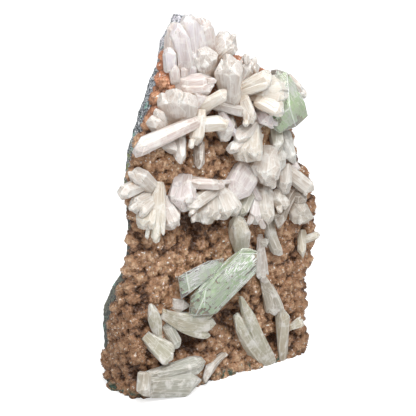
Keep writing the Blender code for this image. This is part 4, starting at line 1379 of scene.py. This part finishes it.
@dataclass(frozen=True)
class GlassyCrystal:
    """A blocky see-through crystal, given by its corners: pixels across and down, and mm out."""

    name: str
    node: str
    slot: str
    finish: GlassyFinish
    axis: tuple[Corner, Corner]
    across_px: Pixel
    corners: tuple[Corner, ...]
    veils: tuple[Veils, ...]
    bevel: float = 0.22 * MM
    sharp_from: float = 24.0
    flake: float = 0.04 * MM
    proud: float = 0.06 * MM
    grain_stretch: float = 0.12

    def hull(self) -> BMesh:
        """The convex body over the corners."""
        bm = bmesh.new()
        for corner in self.corners:
            bm.verts.new(VIEW.point(*corner))
        made = bmesh.ops.convex_hull(bm, input=bm.verts)
        inner = {item for item in made["geom_interior"] if isinstance(item, bmesh.types.BMVert)}
        bmesh.ops.delete(bm, geom=list(inner), context="VERTS")
        bmesh.ops.dissolve_limit(bm, angle_limit=math.radians(5), verts=bm.verts, edges=bm.edges)
        bmesh.ops.recalc_face_normals(bm, faces=bm.faces)
        return bm

    def frame(self) -> tuple[Vector, Vector, Vector]:
        """Start of the axis, the axis, and the way across to the crystal's lower edge."""
        start, end = (VIEW.point(*corner) for corner in self.axis)
        axis = end - start
        across = VIEW.point(*self.across_px, self.axis[0][2]) - start
        across -= axis * (across.dot(axis) / axis.length_squared)
        return start, axis, across

    def add_grain(self, bm: BMesh) -> None:
        """Writes coordinates that run with the crystal's axis."""
        grain = bm.verts.layers.float_vector.new("grain")
        start, axis, across = self.frame()
        out = axis.cross(across).normalized()
        for vert in bm.verts:
            away = vert.co - start
            along = away.dot(axis.normalized()) * self.grain_stretch
            vert[grain] = Vector((away.dot(across.normalized()), away.dot(out), along))

    def flakes(self, solid: BMesh) -> BMesh:
        """Scatters the flakes, keeping those that lie inside or barely proud of the faces.

        Args:
            solid: The crystal's body, before its edges are bevelled.

        Returns:
            A mesh of thin boxes.
        """
        walls = [(face.calc_center_median(), face.normal.copy()) for face in solid.faces]
        start, axis, across = self.frame()
        out = VIEW.towards
        bm = bmesh.new()
        whiteness = bm.verts.layers.float.new("whiteness")
        signs = (-0.5, 0.5)
        corners = [Vector((x, y, z)) for x in signs for y in signs for z in signs]
        for veils in self.veils:
            rng = np.random.default_rng(veils.seed)
            for _ in range(veils.count):
                place = start + axis * rng.uniform(*veils.along) + across * rng.uniform(*veils.across)
                length, width = (rng.uniform(*size) * MM for size in (veils.length, veils.width))
                lean = axis.normalized() + across.normalized() * rng.uniform(-0.05, 0.05)
                side = lean.cross(out).normalized()
                turn = Matrix((side, lean.normalized(), side.cross(lean).normalized())).transposed()
                depth = rng.uniform(*veils.depth) * MM
                seen = [(wall, normal) for wall, normal in walls if out.dot(normal) > 0.05]
                reach = min((wall - place).dot(normal) / out.dot(normal) for wall, normal in seen)
                place = place + out * (reach - depth)
                shape = turn @ Matrix.Diagonal((width, length, self.flake))
                ends = [place + shape @ corner for corner in corners]
                if all((end - wall).dot(normal) < self.proud for end in ends for wall, normal in walls):
                    matrix = Matrix.Translation(place) @ shape.to_4x4()
                    for vert in bmesh.ops.create_cube(bm, size=1, matrix=matrix)["verts"]:
                        vert[whiteness] = veils.whiteness
        return bm

    def build(self) -> None:
        """Builds the crystal and the flakes inside it."""
        bm = self.hull()
        finished_piece(self.name + "_veils", self.flakes(bm), VeilFinish(), self.slot, sharp_from=20.0)
        sharp = [edge for edge in bm.edges if edge.calc_face_angle(0) > math.radians(self.sharp_from)]
        worn = bmesh.ops.bevel(
            bm, geom=sharp, offset=self.bevel, affect="EDGES", segments=2, profile=0.5, material=-1,
        )
        # The bevel faces take the painted edge highlight glass.
        for face in worn["faces"]:
            face.material_index = 1
        bmesh.ops.recalc_face_normals(bm, faces=bm.faces)
        self.add_grain(bm)
        piece = finished_piece(self.name, bm, self.finish, self.slot, [self.node], 12.0)
        piece.data.materials.append(EDGE_HIGHLIGHT.material())


APOPHYLLITE = (
    GlassyCrystal(
        "mint_crystal", "apophyllite_crystal", "clear_apophyllite", MINT,
        axis=((199, 299, 11.0), (247, 250, 14.0)), across_px=(213, 313),
        corners=(
            (239, 253.5, 14.0), (257.5, 253.5, 14.5), (256.5, 272.5, 14.5), (250, 280, 14.0),
            (217, 313, 11.0), (204.7, 306, 11.5), (204, 298.5, 12.0), (206, 288, 12.2),
            (195.6, 315.6, 9.0), (188.7, 314.4, 6.0), (191.4, 308.6, 7.0), (190.8, 296.2, 6.5),
            (242.3, 248, 10.0), (227.2, 258.9, 8.5), (214.4, 273.2, 8.0), (200.5, 285.9, 7.5),
            (247.2, 247.7, 10.0), (258, 251, 11.0), (193.2, 318, 6.0), (210, 317, 8.0),
            (192, 297, 2.0), (196, 318, 2.5), (215, 312, 3.0), (230, 259, 3.0), (246, 248, 4.0),
            (257, 254, 5.0), (253, 276, 4.5), (209, 279, 4.0),
        ),
        veils=(
            Veils(420, (0.5, 1.02), (-0.05, 1.15), (-0.03, 0.1), (0.6, 1.9), (0.14, 0.28), 3),
            Veils(60, (0.05, 0.6), (0.1, 1.0), (0.2, 2.0), (1.0, 3.0), (0.08, 0.2), 5, 0.8),
            Veils(36, (0.0, 0.9), (0.95, 1.1), (0.0, 0.5), (1.5, 4.0), (0.15, 0.3), 8),
            Veils(90, (0.2, 1.0), (0.0, 1.0), (2.0, 5.0), (2.5, 6.0), (0.8, 1.8), 31, 0.1),
            Veils(120, (-0.1, 0.5), (-0.2, 1.1), (1.4, 4.0), (1.0, 3.0), (0.5, 1.3), 32, 0.3),
        ),
    ),
    GlassyCrystal(
        "clear_plate", "apophyllite_crystal", "clear_apophyllite", CLEAR,
        axis=((182, 281, 7.0), (222, 261, 8.0)), across_px=(186, 297),
        corners=(
            (178, 277, 5.0), (186, 272, 7.0), (208, 261, 8.0), (224, 258, 7.5), (221, 270, 9.0),
            (206, 280, 9.5), (190, 293, 9.0), (181, 299, 6.0), (184, 285, 6.5), (180, 280, -1.5),
            (222, 260, -1.5), (216, 274, -1.5), (184, 297, -1.5), (204, 265, -1.5),
        ),
        veils=(
            Veils(90, (0.0, 0.45), (-0.2, 0.8), (-0.02, 1.0), (0.8, 2.4), (0.1, 0.3), 13),
            Veils(90, (0.0, 0.9), (-0.4, 0.1), (-0.02, 1.0), (0.8, 2.5), (0.1, 0.3), 15),
            Veils(120, (0.0, 1.0), (-0.3, 1.0), (1.4, 4.5), (2.0, 5.0), (0.6, 1.6), 33, 0.22),
        ),
    ),
    GlassyCrystal(
        "green_block", "green_apophyllite", "green_apophyllite", GREEN,
        axis=((276, 80, 8.0), (300, 122, 11.0)), across_px=(300, 85),
        corners=(
            (271, 70, 2.0), (277, 69, 6.0), (287, 72, 9.0), (293, 80, 10.0), (299, 91, 11.0),
            (305, 103, 11.5), (308, 116, 10.5), (296, 127, 11.0), (289, 129, 10.0), (279, 133, 8.5),
            (268, 125, 7.0), (267, 118, 6.0), (290, 108, 13.5), (285, 90, 8.0), (275, 74, -2.0),
            (292, 84, -2.0), (304, 104, -2.0), (300, 118, -2.0), (280, 124, -2.0), (270, 100, -2.0),
        ),
        veils=(
            Veils(200, (-0.2, 0.55), (-0.6, 1.1), (-0.02, 1.2), (0.8, 2.6), (0.3, 1.0), 23, 0.85),
            Veils(160, (-0.1, 0.8), (0.3, 1.3), (-0.02, 0.6), (0.5, 1.8), (0.2, 0.6), 24),
            Veils(120, (0.4, 1.2), (-1.0, 0.9), (0.6, 3.0), (1.5, 4.0), (0.6, 1.8), 25, 0.1),
            Veils(160, (-0.2, 1.2), (-1.0, 1.2), (2.0, 5.0), (2.0, 5.0), (1.2, 2.6), 26, 0.5),
        ),
    ),
)


@dataclass(frozen=True)
class SoftBox:
    """One soft studio light: where it stands, its side and its power."""

    name: str
    azimuth: float
    elevation: float
    distance: float
    side: float
    watts: float

    def add(self) -> None:
        """Adds the light, aimed at the specimen."""
        data = bpy.data.lights.new(self.name, "AREA")
        data.size = self.side
        data.energy = self.watts
        lamp = bpy.data.objects.new(self.name, data)
        a, e = math.radians(self.azimuth), math.radians(self.elevation)
        towards = Vector((math.sin(a) * math.cos(e), -math.cos(a) * math.cos(e), math.sin(e)))
        lamp.location = Vector(VIEW.target) + towards * self.distance
        lamp.rotation_euler = towards.to_track_quat("Z", "Y").to_euler()
        bpy.context.scene.collection.objects.link(lamp)


@dataclass(frozen=True)
class Studio:
    """Pale floor, white surroundings and soft lights."""

    floor_size: float = 3.0
    dim: float = 0.44
    bright: float = 0.72
    lights: tuple[SoftBox, ...] = (
        SoftBox("key_light", -8, 54, 0.36, 0.26, 0.95),
        SoftBox("fill_light", -50, 45, 0.46, 0.3, 0.4),
        SoftBox("top_light", -20, 72, 0.45, 0.25, 0.3),
    )

    def build(self) -> None:
        """Adds the floor, the lights and the world."""
        bm = bmesh.new()
        bmesh.ops.create_grid(bm, x_segments=1, y_segments=1, size=self.floor_size / 2)
        mesh = bpy.data.meshes.new("studio_floor")
        bm.to_mesh(mesh)
        bm.free()
        mesh.materials.append(FloorFinish().material())
        floor = bpy.data.objects.new("studio_floor", mesh)
        bpy.context.scene.collection.objects.link(floor)
        for light in self.lights:
            light.add()
        world = bpy.data.worlds.new("studio")
        world.use_nodes = True
        graph = Graph(world.node_tree)
        way = graph.add("ShaderNodeTexCoord").outputs["Generated"]
        strength = graph.ramp(graph.parts(way)["Z"], -0.1, 0.75, self.dim, self.bright)
        graph.feed(world.node_tree.nodes["Background"], {"Color": (1, 1, 1), "Strength": strength})
        bpy.context.scene.world = world
        bpy.context.scene.view_settings.view_transform = "Standard"


def main() -> None:
    """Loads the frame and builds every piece."""
    logging.basicConfig(level=logging.INFO, format="%(message)s")
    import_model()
    VIEW.add_camera()
    for part in (Studio(), Basalt(), DruseCrust(), StilbiteShaper(), *APOPHYLLITE):
        part.build()


if __name__ == "__main__":
    main()
